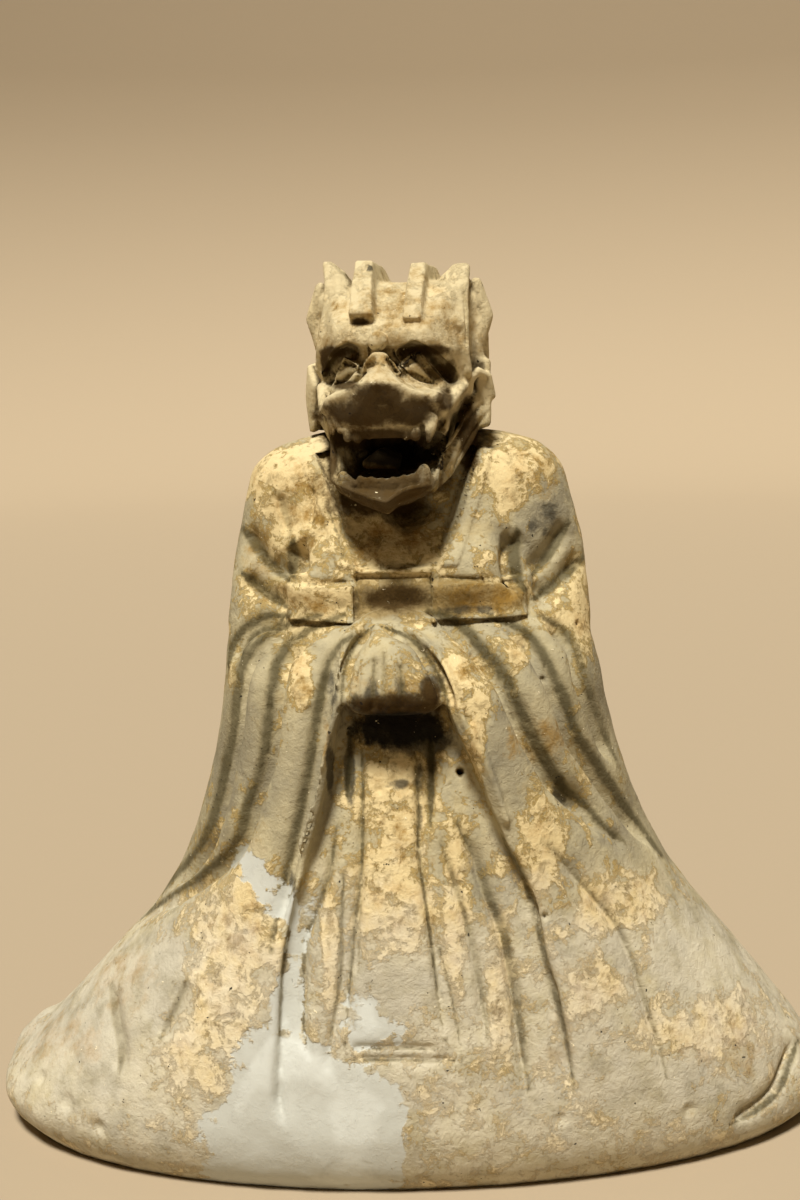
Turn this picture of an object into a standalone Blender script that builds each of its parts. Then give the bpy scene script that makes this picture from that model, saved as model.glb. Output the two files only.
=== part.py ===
# A seated zodiac figure of grey pottery: a dragon's head on a robed body with clasped hands.
# It is modelled and fired in one piece. The body faces -Y and the figure stands on z = 0.
import bmesh
import bpy
import numpy as np
from math import cos, pi, radians, sin
from mathutils import Euler, Matrix, Vector
from mathutils.bvhtree import BVHTree

# Driving size, in metres. Every other length is a share of it, counted in parts.
figureHeight = 0.2685
heightInParts = 268.5
part = figureHeight / heightInParts

# How finely the clay is worked: first for the masses, then for the carving.
roughGrain = 2.0 * part
fineGrain = 1.1 * part
triangleCount = 9700

# Colour, roughness and metallic value of the fired clay.
clayColour = (0.42, 0.38, 0.29, 1.0)
clayRoughness = 0.85
clayMetallic = 0.0

# The head's place over the body, and its turn towards the figure's right shoulder.
headPlace = (2.5, 0.0, 236.5)
headTurn = radians(-12.5)

# The robe's outline from below the ground up: height, right half, left half, front, back.
robeLevels = (
    (-5, 119, 124, 52, 68),
    (0, 122, 129, 57, 71),
    (6, 129, 136, 61.5, 74),
    (13, 131, 135.5, 63.5, 76),
    (20, 125.5, 131.5, 64.5, 76),
    (28, 117.5, 126.5, 64.5, 75),
    (36, 109.5, 120, 64.5, 73),
    (45, 101, 113, 64, 70.5),
    (55, 91.5, 105, 63, 67),
    (66, 81, 96, 62, 62),
    (80, 71.5, 85.5, 60.5, 56.5),
    (94, 65, 78, 59, 51),
    (107, 61, 72.5, 57.5, 46.5),
    (120, 57.5, 68.5, 56, 42.5),
    (133, 55, 65, 54.5, 39.5),
    (145, 53.5, 63, 52, 37.5),
    (153, 53, 61, 46, 36),
    (160, 50, 57, 39, 35),
    (165, 44, 50, 28, 33),
)
robeSides = 96

# Between the sleeve edges the skirt lies back: height, right edge, left edge and depth.
skirtLevels = (
    (18, -27, 50, 0),
    (30, -27, 49, 1),
    (43, -27, 46, 1.8),
    (57, -28, 44, 2.6),
    (70, -28.5, 40, 3.4),
    (84, -25, 38, 4.6),
    (94, -21.5, 34, 6.2),
    (104, -19.5, 30, 8.2),
    (115, -18.5, 25.5, 11),
    (126, -18, 21.5, 14),
    (135, -17, 17, 16.5),
    (143, -15.5, 14, 16),
    (150, -13, 11, 10),
    (158, -8, 5, 0),
)

# The sash at the waist: its lower and upper edge, its ends, its plain middle and its rise.
sashBottom, sashTop = 163, 174.5
sashRight, sashLeft = -33, 39.5
sashMiddle = (-12.6, 10.6)
sashRise = 1.7
# A narrow strip of cloth shows over the sash's middle.
stripBottom, stripTop = 176, 180
stripRise = 1.2

# The crossed collars: the inner edge at three heights on each side, their width and rise.
collarHeights = (178, 194, 216)
collarRight = (-12, -16.5, -26)
collarLeft = (13, 19.5, 27)
collarWidth = 6
collarRise = 0.9
throatDepth = 1.6

# Courses of the folds on the front, as x and z from the top down, after width, depth and step.
# A step above zero lifts the cloth on the figure's left of the fold.
frontFolds = (
    # Edges of the sleeves.
    (2.2, 3.0, -2.6, ((13, 163), (2, 165), (-9, 162), (-14, 155), (-17, 140), (-22, 118), (-28, 100),
                      (-33, 78), (-35, 55), (-37, 35), (-33, 20))),
    (1.5, 1.6, 1.6, ((-19, 111), (-21, 96), (-27, 78), (-28.5, 60), (-27, 41))),
    (2.2, 2.4, 2.4, ((2, 162), (8, 155), (14, 144), (22, 126), (31, 100), (38, 82), (44, 57), (49, 29))),
    # Cloth over the left forearm.
    (2.8, 3.8, 2.2, ((12, 164), (20, 160), (28, 151), (36, 135), (46, 117), (54, 109), (64, 98))),
    (2.8, 3.4, 2.0, ((32, 162), (41, 156), (48, 141), (53, 128), (60, 118), (66, 107))),
    (2.2, 2.6, 1.6, ((46, 161), (53, 153), (57, 141), (61, 128), (66, 116))),
    # Cloth over the right forearm.
    (2.6, 3.4, -2.2, ((-21, 162), (-30, 159), (-36, 148), (-38, 130), (-43, 113), (-50, 97), (-68, 79),
                      (-85, 63))),
    (2.4, 3.0, -2.0, ((-29, 163), (-40, 158), (-47, 145), (-49, 130), (-54, 110), (-66, 86), (-83, 64))),
    (2.2, 2.6, -2.2, ((-32, 164), (-43, 161), (-50, 155), (-52, 147))),
    # Skirt.
    (2.0, 2.4, 1.4, ((14, 113), (20, 100), (28, 78), (33, 50), (36, 28))),
    (1.4, 1.4, 0.8, ((9, 108), (17, 84), (20, 66), (24, 45))),
    (1.3, 1.3, 0.0, ((-16, 101), (-18, 68), (-21, 52), (-23, 38))),
    (2.0, 1.8, 1.0, ((45, 97), (53, 88), (62, 76), (68, 60), (73, 41), (77, 26))),
    (1.8, 1.4, 0.8, ((53, 106), (62, 100), (70, 92))),
    # Panel that hangs in the middle, its pleats and its border.
    (1.4, 1.6, 1.8, ((-10.5, 131), (-11, 101), (-13.5, 75), (-17, 45))),
    (1.4, 1.6, -1.8, ((5, 131), (5.5, 102), (8.5, 75), (12, 50))),
    (1.3, 1.4, 0.8, ((-14.5, 130), (-15.5, 108))),
    (1.3, 1.4, -0.8, ((9.2, 130), (8.6, 107))),
    (1.1, 1.1, 0.0, ((10.5, 77), (15, 52), (16.5, 42))),
    (1.1, 1.2, 0.0, ((-17, 47), (0, 47.2), (15.5, 47))),
    (1.1, 1.2, 0.0, ((-17, 43.5), (0, 43.8), (16.5, 43.5))),
    # Creases at the knees, and the hem that comes out under the left one.
    (2.2, 1.8, 0.8, ((-90, 52), (-87, 46), (-84, 39), (-85, 31))),
    (2.2, 1.7, 0.8, ((-64, 61), (-67, 53), (-72, 44))),
    (2.2, 2.6, 2.0, ((122, 35), (119, 26), (113, 17), (98, 11))),
    # Sleeves under the shoulders, and the hollow beside each arm.
    (2.8, 2.8, 1.2, ((-49, 189), (-39, 179), (-32, 174))),
    (2.8, 2.8, 1.2, ((-49, 176), (-39, 170), (-32, 166))),
    (2.0, 1.2, 0.6, ((-36, 201), (-33, 195), (-31, 188))),
    (3.0, 3.0, -1.2, ((59, 179), (51, 173), (42, 167))),
    (2.8, 2.8, -1.2, ((54, 190), (47, 181), (40, 173))),
    (4.0, 6.0, 0.0, ((-30, 188), (-30, 181), (-31, 174))),
    (4.0, 6.0, 0.0, ((37, 189), (35.5, 180), (38, 171))),
    # Flutes of the cloth over the hands.
    (1.4, 1.4, 0.0, ((-7.5, 156), (-8, 147), (-8.5, 136))),
    (1.3, 1.2, 0.0, ((-3.5, 155), (-4, 147), (-4.5, 138))),
    (1.4, 1.3, 0.0, ((0.5, 154), (1.5, 147), (2, 137))),
)

# Folds of the robe and locks of the mane on the back, plainer, as x and z.
backFolds = (
    (3.0, 2.2, 0.0, ((-2, 150), (-4, 110), (-8, 60), (-10, 20))),
    (3.0, 2.2, 1.0, ((-18, 158), (-26, 115), (-42, 65), (-58, 22))),
    (3.0, 2.2, -1.0, ((22, 158), (30, 115), (44, 65), (60, 22))),
    (3.0, 2.0, 1.0, ((-34, 160), (-46, 115), (-72, 62), (-98, 28))),
    (3.0, 2.0, -1.0, ((40, 160), (54, 115), (78, 62), (102, 28))),
    (2.2, 1.8, 0.0, ((-13, 250), (-12, 235), (-9, 216), (-7, 204))),
    (2.2, 1.8, 0.0, ((-3, 252), (-3, 235), (-2, 216), (-1, 203))),
    (2.2, 1.8, 0.0, ((8, 251), (7, 235), (6, 216), (5, 204))),
)

# Locks and folds on each side, as y and z.
sideFolds = (
    (2.0, 1.8, 0.0, ((8, 256), (14, 246), (20, 230), (22, 214))),
    (2.0, 1.8, 0.0, ((5, 246), (8, 236), (14, 222), (17, 210))),
    (2.8, 2.0, 0.8, ((6, 156), (10, 120), (18, 70), (26, 24))),
)
fadeShare = 0.16


def inBody(point):
    return Vector(point) * part


def inHead(point):
    return (Matrix.Rotation(headTurn, 3, "Z") @ Vector(point) + Vector(headPlace)) * part


def unitBall():
    mesh = bmesh.new()
    bmesh.ops.create_icosphere(mesh, subdivisions=2, radius=1)
    points = [vert.co.copy() for vert in mesh.verts]
    mesh.free()
    return points


ballPoints = unitBall()


def addBall(mesh, centre, radii, turn, place):
    """An oval ball of clay, turned by three angles in degrees."""
    spin = Euler([radians(angle) for angle in turn]).to_matrix().to_4x4()
    if place is inHead:
        spin = Matrix.Rotation(headTurn, 4, "Z") @ spin
    shape = Matrix.Diagonal((*[radius * part for radius in radii], 1))
    matrix = Matrix.Translation(place(centre)) @ spin @ shape
    bmesh.ops.create_uvsphere(mesh, u_segments=32, v_segments=18, radius=1, matrix=matrix)


def addMass(mesh, balls, place):
    """A rounded mass: the hull of balls, each given as x, y, z and radius."""
    verts = []
    for x, y, z, radius in balls:
        centre = place((x, y, z))
        verts += [mesh.verts.new(centre + point * radius * part) for point in ballPoints]
    hull = bmesh.ops.convex_hull(mesh, input=verts, use_existing_faces=False)
    inner = set(hull["geom_interior"] + hull["geom_unused"])
    spare = [item for item in inner if isinstance(item, bmesh.types.BMVert)]
    bmesh.ops.delete(mesh, geom=spare, context="VERTS")


def addRoll(mesh, balls, place):
    """A roll of clay that runs from each ball to the next."""
    for first, second in zip(balls, balls[1:]):
        addMass(mesh, [first, second], place)


def mirrored(balls, sign):
    return [(sign * x, y, z, radius) for x, y, z, radius in balls]


def robeRing(level):
    """The robe's outline at one level: an ellipse at the ground, blunter higher up."""
    z, right, left, front, back = level
    power = 2.0 / (2.0 + 0.15 * min(max(z / 60, 0), 1))
    ring = []
    for i in range(robeSides):
        c = cos(2 * pi * i / robeSides)
        s = sin(2 * pi * i / robeSides)
        x = (left if c > 0 else -right) * abs(c) ** power
        y = (back if s > 0 else -front) * abs(s) ** power
        ring.append(inBody((x, y, z)))
    return ring


def addRobe(mesh):
    verts = bmesh.ops.create_circle(mesh, segments=robeSides, radius=1, cap_ends=True)["verts"]
    edges = list({edge for vert in verts for edge in vert.link_edges})
    for vert, spot in zip(verts, robeRing(robeLevels[0])):
        vert.co = spot
    for level in robeLevels[1:]:
        grown = bmesh.ops.extrude_edge_only(mesh, edges=edges)["geom"]
        verts = [item for item in grown if isinstance(item, bmesh.types.BMVert)]
        edges = [item for item in grown if isinstance(item, bmesh.types.BMEdge)]
        for vert, spot in zip(verts, robeRing(level)):
            vert.co = spot
    mesh.faces.new(verts)
    bmesh.ops.recalc_face_normals(mesh, faces=mesh.faces)


def buildBody(mesh):
    addRobe(mesh)
    # Chest.
    addMass(mesh, [(-17, -6, 172, 22), (23, -6, 172, 22), (-19, 8, 176, 22), (25, 8, 176, 22)], inBody)
    addMass(mesh, [(-18, 0, 172, 24), (24, 0, 172, 24), (-14, 1, 198, 17), (20, 1, 198, 17)], inBody)
    addMass(mesh, [(-20, 9, 192, 18), (26, 9, 192, 18), (-8, 4, 205, 14), (14, 4, 205, 14)], inBody)
    # Shoulders and upper arms, down to the elbows.
    addMass(mesh, [(-29, 6, 198, 17.5), (3, 6, 200, 18), (-20, 6, 207, 11)], inBody)
    addMass(mesh, [(37, 6, 198, 18), (3, 6, 200, 18), (27, 6, 207, 11)], inBody)
    addRoll(mesh, [(-30, 6, 196, 17), (-35, 4, 178, 16), (-37, -2, 160, 16), (-36, -10, 150, 15)], inBody)
    addRoll(mesh, [(38, 6, 196, 17.5), (43, 4, 178, 17), (45, -2, 160, 16), (44, -10, 150, 15)], inBody)
    # Back, sloping down into the robe.
    back = [(-24, 12, 140, 22), (30, 12, 140, 22), (-20, 12, 190, 18), (26, 12, 190, 18), (0, 14, 196, 19)]
    addMass(mesh, back, inBody)
    # Neck.
    addMass(mesh, [(1, 6, 205, 21), (2, 6, 218, 17)], inBody)
    # Knees under the hem.
    addMass(mesh, [(-104, 6, 12, 20), (-112, 10, 10, 20), (-60, -8, 18, 30)], inBody)
    addMass(mesh, [(106, 6, 12, 20), (114, 10, 10, 20), (60, -8, 18, 30)], inBody)


def buildHands(mesh):
    """Clasped hands under the cloth, with a flat lower edge."""
    fingers = [(-4.5, -37, 158, 5), (-8.5, -45, 150, 8), (5.5, -45, 150, 8)]
    edge = [(-11, -49.5, 143.5, 4), (8, -49.5, 143.5, 4)]
    wrists = [(-9, -33, 145, 6), (6, -33, 145, 6)]
    addMass(mesh, fingers + edge + wrists, inBody)


def buildSkull(mesh):
    """A steep brow under a flat crown, with the mane standing out behind the temples."""
    crown = [(-16, -7, 19, 6), (16, -7, 19, 6), (-13, 14, 18, 8), (13, 14, 18, 8), (0, 20, 15, 9)]
    brow = [(-11, -20.5, 8, 5), (11, -20.5, 8, 5), (-16.5, -15, 5, 4.5), (16.5, -15, 5, 4.5)]
    cheeks = [(-15, 18, -12, 9), (15, 18, -12, 9), (-16, -8, -8, 6), (16, -8, -8, 6)]
    addMass(mesh, crown + brow + cheeks, inHead)
    temple = [(20, 1, 19, 5), (21.5, 4, 10, 5.5), (20.5, 3, 0, 5), (21.5, 4, -10, 5.5)]
    behind = [(17, 13, 14, 7), (18, 15, -6, 8), (9, 23, 11, 8), (9, 25, -5, 8), (11, 17, -26, 8)]
    edge = [(24, 0, 24.5, 2), (27, 0, 15, 2.2), (24.2, -1, 5.5, 2), (25.8, 1, -8, 2.2)]
    for sign in (-1, 1):
        addMass(mesh, mirrored(temple + behind, sign), inHead)
        addRoll(mesh, mirrored(edge, sign), inHead)
    addMass(mesh, [(-9, 22, -6, 9), (9, 22, -6, 9), (-9, 17, -36, 8), (9, 17, -36, 8)], inHead)


def buildMuzzle(mesh):
    """A nose ridge in the middle and a bulging lip on each side."""
    upper = [(0, -36.5, -1.5, 2.6), (-9, -34.5, -7.5, 3), (9, -34.5, -7.5, 3), (0, -24, 2, 2.5)]
    lower = [(-9, -33, -14, 2.5), (9, -33, -14, 2.5), (-5, -24, -3, 4), (5, -24, -3, 4), (0, -12, -8, 8)]
    addMass(mesh, upper + lower, inHead)
    corners = [(14, -28, -10.5, 3.5), (14, -27, -14, 3)]
    addMass(mesh, corners + mirrored(corners, -1) + [(0, -10, -8, 7)], inHead)
    ridge = [(0, -38.3, -1.8, 2.0), (4, -38, -4.8, 2.3), (10, -34.8, -8.2, 2.9), (16, -28.5, -10.8, 3)]
    for sign in (-1, 1):
        addRoll(mesh, mirrored(ridge, sign), inHead)
    addMass(mesh, [(0, -38.5, -5, 2.8), (-3, -37, -7, 3), (3, -37, -7, 3)], inHead)


def buildJaw(mesh):
    """The lower jaw hangs from a bar on each side, with a cheek behind the bar."""
    chin = [(-10, -32, -36, 3), (10, -32, -36, 3), (0, -36, -37.5, 2.6)]
    base = [(-15, -22, -34.5, 4), (15, -22, -34.5, 4), (0, 0, -31, 8)]
    addMass(mesh, chin + base, inHead)
    bar = [(27.3, -2, -8, 2.4), (22.8, -12, -21, 2.7), (17.5, -23, -32, 3), (10, -33.5, -36, 2.6)]
    cheek = [(24, -1, -8, 2), (14, -22, -31, 2), (14, -16, -12, 3), (10, 0, -30, 5), (19, -10, -4, 3)]
    for sign in (-1, 1):
        addRoll(mesh, mirrored(bar, sign), inHead)
        addMass(mesh, mirrored(cheek, sign), inHead)


def addHorn(mesh, sign):
    """A square bar that lies back over the crown, with its cut end on the brow."""
    course = ((7.0, -22.5, 13.5), (7.6, -15.5, 22), (7.9, -7, 30.5), (8.3, 8, 30), (8.3, 20, 23))
    half, depth, edge = 2.6, 5.5, 0.7
    for ends in zip(course, course[1:]):
        corners = []
        for x, y, z in ends:
            for across in (-half, half):
                corners += [(sign * x + across, y, z, edge), (sign * x + across, y + depth, z - depth, edge)]
        addMass(mesh, corners, inHead)


def addCrest(mesh, sign):
    """The ridge at the edge of the crown, which runs down beside the eye."""
    course = ((15, 20, 17, 2.4), (18.5, 10, 25, 2.4), (20.3, -3, 30.3, 2.2), (19.2, -11, 22, 2.2),
              (20, -15, 12, 2.1), (22.3, -12.5, 3, 1.8))
    for ends in zip(course, course[1:]):
        corners = list(ends) + [(x - 3, y + 6, z - 6, radius) for x, y, z, radius in ends]
        addMass(mesh, mirrored(corners, sign), inHead)


def buildRelief(mesh):
    """What stands out from the head: horns, crest, ears, cheek folds, bead and nose."""
    leaf = [(25.5, -3, -4, 3), (26, -1, -12, 2.4), (25, 3, -6, 3)]
    flap = [(27.3, -2, 1, 1.2), (27.3, -2, -17, 1.2), (25, 8, 0, 1.5), (25, 8, -16, 1.5)]
    fold = [(22, -11, -6, 2), (19, -20, -12, 2)]
    for sign in (-1, 1):
        addHorn(mesh, sign)
        addCrest(mesh, sign)
        addMass(mesh, mirrored(leaf, sign), inHead)
        addMass(mesh, mirrored(flap, sign), inHead)
        addRoll(mesh, mirrored(fold, sign), inHead)
    addBall(mesh, (-0.3, -27, 8.2), (3.2, 3.2, 3.2), (0, 0, 0), inHead)
    arch = [(-6.5, -25.5, 0.5, 1.3), (-2.4, -29.5, 4.4, 1.5), (1.8, -29.5, 4.2, 1.5), (6, -26, 0, 1.3)]
    addRoll(mesh, arch, inHead)


def buildHollows(mesh):
    """What is cut out: the mouth, the eye sockets, the ears and the throat."""
    gape = [(9.5, -46, -21, 1.5), (9.5, -46, -30.5, 1.5), (9.5, -14, -21, 2), (9, -14, -28, 2)]
    addMass(mesh, gape + mirrored(gape, -1), inHead)
    upper = [(5.8, -24.2, 3.6, 1.9), (9.5, -22.8, 5.2, 2.6), (14.5, -20.4, 1.8, 2.6)]
    lower = [(19, -16.5, -2, 1.7), (9, -23, -2, 2), (14.5, -20.5, -4, 1.6)]
    socket = upper + lower
    socket += [(x, y - 9, z, radius) for x, y, z, radius in socket]
    for sign in (-1, 1):
        addMass(mesh, mirrored(socket, sign), inHead)
        addBall(mesh, (sign * 26, -6.4, -5), (1.9, 2.2, 3.2), (0, 0, 0), inHead)
    addMass(mesh, [(4, -19, 191, 4), (-5, -17, 194, 3.5), (14, -16, 195, 3.5)], inBody)


def buildFace(mesh):
    """Eyes with their lids, teeth, lower lip and tongue."""
    lidTop, lidSide = (9.6, -23.2, 4.0, 0.85), (13.6, -21.2, 0.2, 0.85)
    upperLid = [(4.8, -24.0, 1.6, 0.8), lidTop, lidSide, (17.4, -17.8, -4.6, 0.8)]
    lowerLid = [upperLid[0], (9.3, -22.8, -3.4, 0.8), upperLid[-1]]
    fang = [(13.6, -30.6, -14, 2.0), (13.4, -31.4, -19.6, 0.9)]
    canine = [(11.8, -31.2, -33, 2.6), (12, -31.2, -28, 1.8)]
    lip = [(14, -29.5, -32, 1.4), (7.5, -35.5, -33.4, 1.3), (0.5, -38, -36, 1.3)]
    for sign in (-1, 1):
        addBall(mesh, (sign * 10.8, -18.3, -0.6), (8.4, 4.4, 4.6), (0, sign * 28, sign * 24), inHead)
        for course in (upperLid, lowerLid, fang, canine, lip):
            addRoll(mesh, mirrored(course, sign), inHead)
    upperTeeth = [(10, -28, -17.5, 2.2), (6, -33, -17.8, 2.2)]
    lowerTeeth = [(9, -29, -32, 2.2), (4.5, -33, -32.5, 2.0)]
    for course in (upperTeeth, lowerTeeth):
        addRoll(mesh, course + mirrored(course[::-1], -1), inHead)
    tongue = [(-1.5, -26, -27, 2), (-3.5, -17, -28.5, 3), (1.5, -17, -28.5, 3), (-1, -10, -28, 4)]
    addMass(mesh, tongue, inHead)


def newObject(name, build):
    mesh = bmesh.new()
    build(mesh)
    data = bpy.data.meshes.new(name)
    mesh.to_mesh(data)
    mesh.free()
    obj = bpy.data.objects.new(name, data)
    bpy.context.collection.objects.link(obj)
    return obj


def applyModifier(obj, kind, **settings):
    """Gives the object the mesh that one modifier makes of it."""
    modifier = obj.modifiers.new(kind.title(), kind)
    for name, value in settings.items():
        setattr(modifier, name, value)
    graph = bpy.context.evaluated_depsgraph_get()
    result = bpy.data.meshes.new_from_object(obj.evaluated_get(graph))
    obj.modifiers.clear()
    obj.data = result


def knead(obj, grain, passes):
    """Joins overlapping masses into one skin and softens it."""
    applyModifier(obj, "REMESH", mode="VOXEL", voxel_size=grain)
    if passes:
        applyModifier(obj, "SMOOTH", factor=0.5, iterations=passes)


def addTo(obj, *builders):
    for build in builders:
        added = newObject("added", build)
        mesh = bmesh.new()
        mesh.from_mesh(obj.data)
        mesh.from_mesh(added.data)
        mesh.to_mesh(obj.data)
        mesh.free()
        bpy.data.objects.remove(added, do_unlink=True)


def cutFrom(obj, build):
    cutter = newObject("cutter", build)
    cutter.hide_render = True
    cutter.display_type = "WIRE"
    knead(cutter, fineGrain / 2, 0)
    applyModifier(obj, "BOOLEAN", operation="DIFFERENCE", solver="EXACT", object=cutter)
    bpy.data.objects.remove(cutter, do_unlink=True)


def getPoints(obj):
    """The object's points in parts, and their normals."""
    verts = obj.data.vertices
    points = np.empty(len(verts) * 3)
    normals = np.empty(len(verts) * 3)
    verts.foreach_get("co", points)
    verts.foreach_get("normal", normals)
    return points.reshape(-1, 3) / part, normals.reshape(-1, 3)


def setPoints(obj, points):
    obj.data.vertices.foreach_set("co", (points * part).ravel())
    obj.data.update()


def smoothStep(values):
    t = np.clip(values, 0, 1)
    return t * t * (3 - 2 * t)


def between(values, low, high, edge):
    """One between the two limits, with a soft edge inside each."""
    return smoothStep((values - low) / edge) * smoothStep((high - values) / edge)


def curve(course):
    """Points one part apart on a smooth curve through a course."""
    ends = np.array(course, float)
    ends = np.vstack([2 * ends[0] - ends[1], ends, 2 * ends[-1] - ends[-2]])
    dense = []
    for i in range(1, len(ends) - 2):
        a, b, c, d = ends[i - 1 : i + 3]
        for t in np.linspace(0, 1, 24, endpoint=False):
            square = 2 * a - 5 * b + 4 * c - d
            cube = 3 * b - a - 3 * c + d
            dense.append(0.5 * (2 * b + (c - a) * t + square * t**2 + cube * t**3))
    dense = np.array(dense + [ends[-2]])
    length = np.concatenate([[0], np.cumsum(np.linalg.norm(np.diff(dense, axis=0), axis=1))])
    even = np.linspace(0, length[-1], int(length[-1]) + 2)
    return np.stack([np.interp(even, length, dense[:, k]) for k in range(2)], axis=1)


def pressSkirt(obj):
    """The skirt between the two sleeve edges lies back, deepest under the hands."""
    points, normals = getPoints(obj)
    x, y, z = points.T
    levels = np.array(skirtLevels)
    right, left, depth = (np.interp(z, levels[:, 0], levels[:, k], 0, 0) for k in (1, 2, 3))
    points[:, 1] += np.where(y < -10, depth * between(x, right, left, 2.2), 0)
    setPoints(obj, points)


def carveDress(obj):
    """The sash at the waist and the crossed collars on the chest."""
    points, normals = getPoints(obj)
    x, y, z = points.T
    middle = between(x, *sashMiddle, 1.2)
    sash = between(z, sashBottom, sashTop, 1.2) * between(x, sashRight, sashLeft, 2)
    lift = sashRise * sash * (1 - 0.76 * middle)
    lift += stripRise * middle * between(z, stripBottom, stripTop, 1.1)
    right = np.interp(z, collarHeights, collarRight)
    left = np.interp(z, collarHeights, collarLeft)
    above = smoothStep((z - collarHeights[0]) / 2)
    lift += collarRise * above * between(x, right - collarWidth, left + collarWidth, 1.2)
    throat = throatDepth + 0.12 * np.clip(z - collarHeights[0], 0, 25)
    lift -= throat * above * between(x, right, left, 1.5)
    front = (y < -5) & (z > sashBottom) & (z < collarHeights[-1])
    shift = lift * front * smoothStep(-3 * normals[:, 1])
    setPoints(obj, points + normals * shift[:, None])


def layCourse(tree, course, side):
    """The course laid on the surface that faces the given side."""
    level = Vector((abs(side.y), abs(side.x), 0))
    spots = []
    for across, z in curve(course):
        start = inBody(level * across + side * heightInParts + Vector((0, 0, z)))
        hit = tree.ray_cast(start, -side)[0]
        if hit is not None:
            spots.append(np.array(hit) / part)
    return np.array(spots)


def carveFolds(obj, folds, side):
    """Each fold is a groove with a step across it, and fades out at both ends."""
    points, normals = getPoints(obj)
    verts = [vert.co for vert in obj.data.vertices]
    tree = BVHTree.FromPolygons(verts, [face.vertices for face in obj.data.polygons])
    lift = np.zeros(len(points))
    facing = smoothStep(normals @ np.array(side) * 2 + 0.8)
    for width, depth, step, course in folds:
        spots = layCourse(tree, course, Vector(side))
        reach = 5 * width + 6
        near = np.all((points > spots.min(axis=0) - reach) & (points < spots.max(axis=0) + reach), axis=1)
        near = np.where(near)[0]
        gaps = np.linalg.norm(points[near][:, None, :] - spots[None, :, :], axis=2)
        index = gaps.argmin(axis=1)
        offset = points[near] - spots[index]
        along = np.gradient(spots, axis=0)
        along = (along / np.linalg.norm(along, axis=1)[:, None])[index]
        sideways = np.cross(normals[near], along)
        sideways /= np.maximum(np.linalg.norm(sideways, axis=1), 1e-9)[:, None]
        s = (offset * sideways).sum(axis=1) / width
        beyond = np.maximum(np.abs((offset * along).sum(axis=1)) - 1, 0) / width
        share = index / (len(spots) - 1)
        fade = between(share, 0, 1, fadeShare) * np.exp(-(beyond**2))
        fade *= smoothStep((reach - gaps.min(axis=1)) / width)
        groove = -depth * np.exp(-(s**2))
        terrace = 0.5 * step * np.tanh(2 * s) * np.exp(-np.abs(s) / 2.5)
        lift[near] += (groove + terrace) * fade * facing[near]
    setPoints(obj, points + normals * lift[:, None])


def finishFoot(obj):
    """Cuts the foot flat at the ground and centres the figure over the origin."""
    mesh = bmesh.new()
    mesh.from_mesh(obj.data)
    everything = mesh.verts[:] + mesh.edges[:] + mesh.faces[:]
    cut = bmesh.ops.bisect_plane(
        mesh, geom=everything, dist=1e-6, plane_co=(0, 0, 0), plane_no=(0, 0, -1), clear_outer=True
    )
    rim = [item for item in cut["geom_cut"] if isinstance(item, bmesh.types.BMEdge)]
    bmesh.ops.holes_fill(mesh, edges=rim, sides=0)
    bmesh.ops.triangulate(mesh, faces=mesh.faces[:])
    bmesh.ops.recalc_face_normals(mesh, faces=mesh.faces)
    xs = [vert.co.x for vert in mesh.verts]
    ys = [vert.co.y for vert in mesh.verts]
    middle = Vector((min(xs) + max(xs), min(ys) + max(ys), 0)) / 2
    bmesh.ops.translate(mesh, verts=mesh.verts, vec=-middle)
    mesh.to_mesh(obj.data)
    mesh.free()
    obj.data.shade_smooth()
    return -middle


def clayMaterial():
    material = bpy.data.materials.new("fired_clay")
    material.use_nodes = True
    shader = material.node_tree.nodes["Principled BSDF"]
    shader.inputs["Base Color"].default_value = clayColour
    shader.inputs["Roughness"].default_value = clayRoughness
    shader.inputs["Metallic"].default_value = clayMetallic
    return material


for old in list(bpy.data.objects):
    bpy.data.objects.remove(old, do_unlink=True)

figure = newObject("zodiac_figure", buildBody)
knead(figure, roughGrain, 8)
knead(figure, fineGrain, 0)
pressSkirt(figure)
addTo(figure, buildHands, buildSkull, buildMuzzle, buildJaw)
knead(figure, fineGrain, 3)
addTo(figure, buildRelief)
knead(figure, fineGrain, 1)
cutFrom(figure, buildHollows)
addTo(figure, buildFace)
knead(figure, fineGrain, 0)
carveDress(figure)
carveFolds(figure, frontFolds, (0, -1, 0))
carveFolds(figure, backFolds, (0, 1, 0))
carveFolds(figure, sideFolds, (1, 0, 0))
carveFolds(figure, sideFolds, (-1, 0, 0))
knead(figure, fineGrain, 1)
applyModifier(figure, "DECIMATE", ratio=triangleCount / (2 * len(figure.data.vertices)))
frameShift = finishFoot(figure)
figure.data.materials.append(clayMaterial())
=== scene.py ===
# A seated zodiac figure of grey pottery: a dragon's head on a robed body with clasped hands.
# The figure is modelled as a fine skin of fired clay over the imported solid, and then given its finish.
import bmesh
import bpy
import numpy as np
from math import cos, pi, radians, sin
from mathutils import Euler, Matrix, Vector
from mathutils.bvhtree import BVHTree


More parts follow.
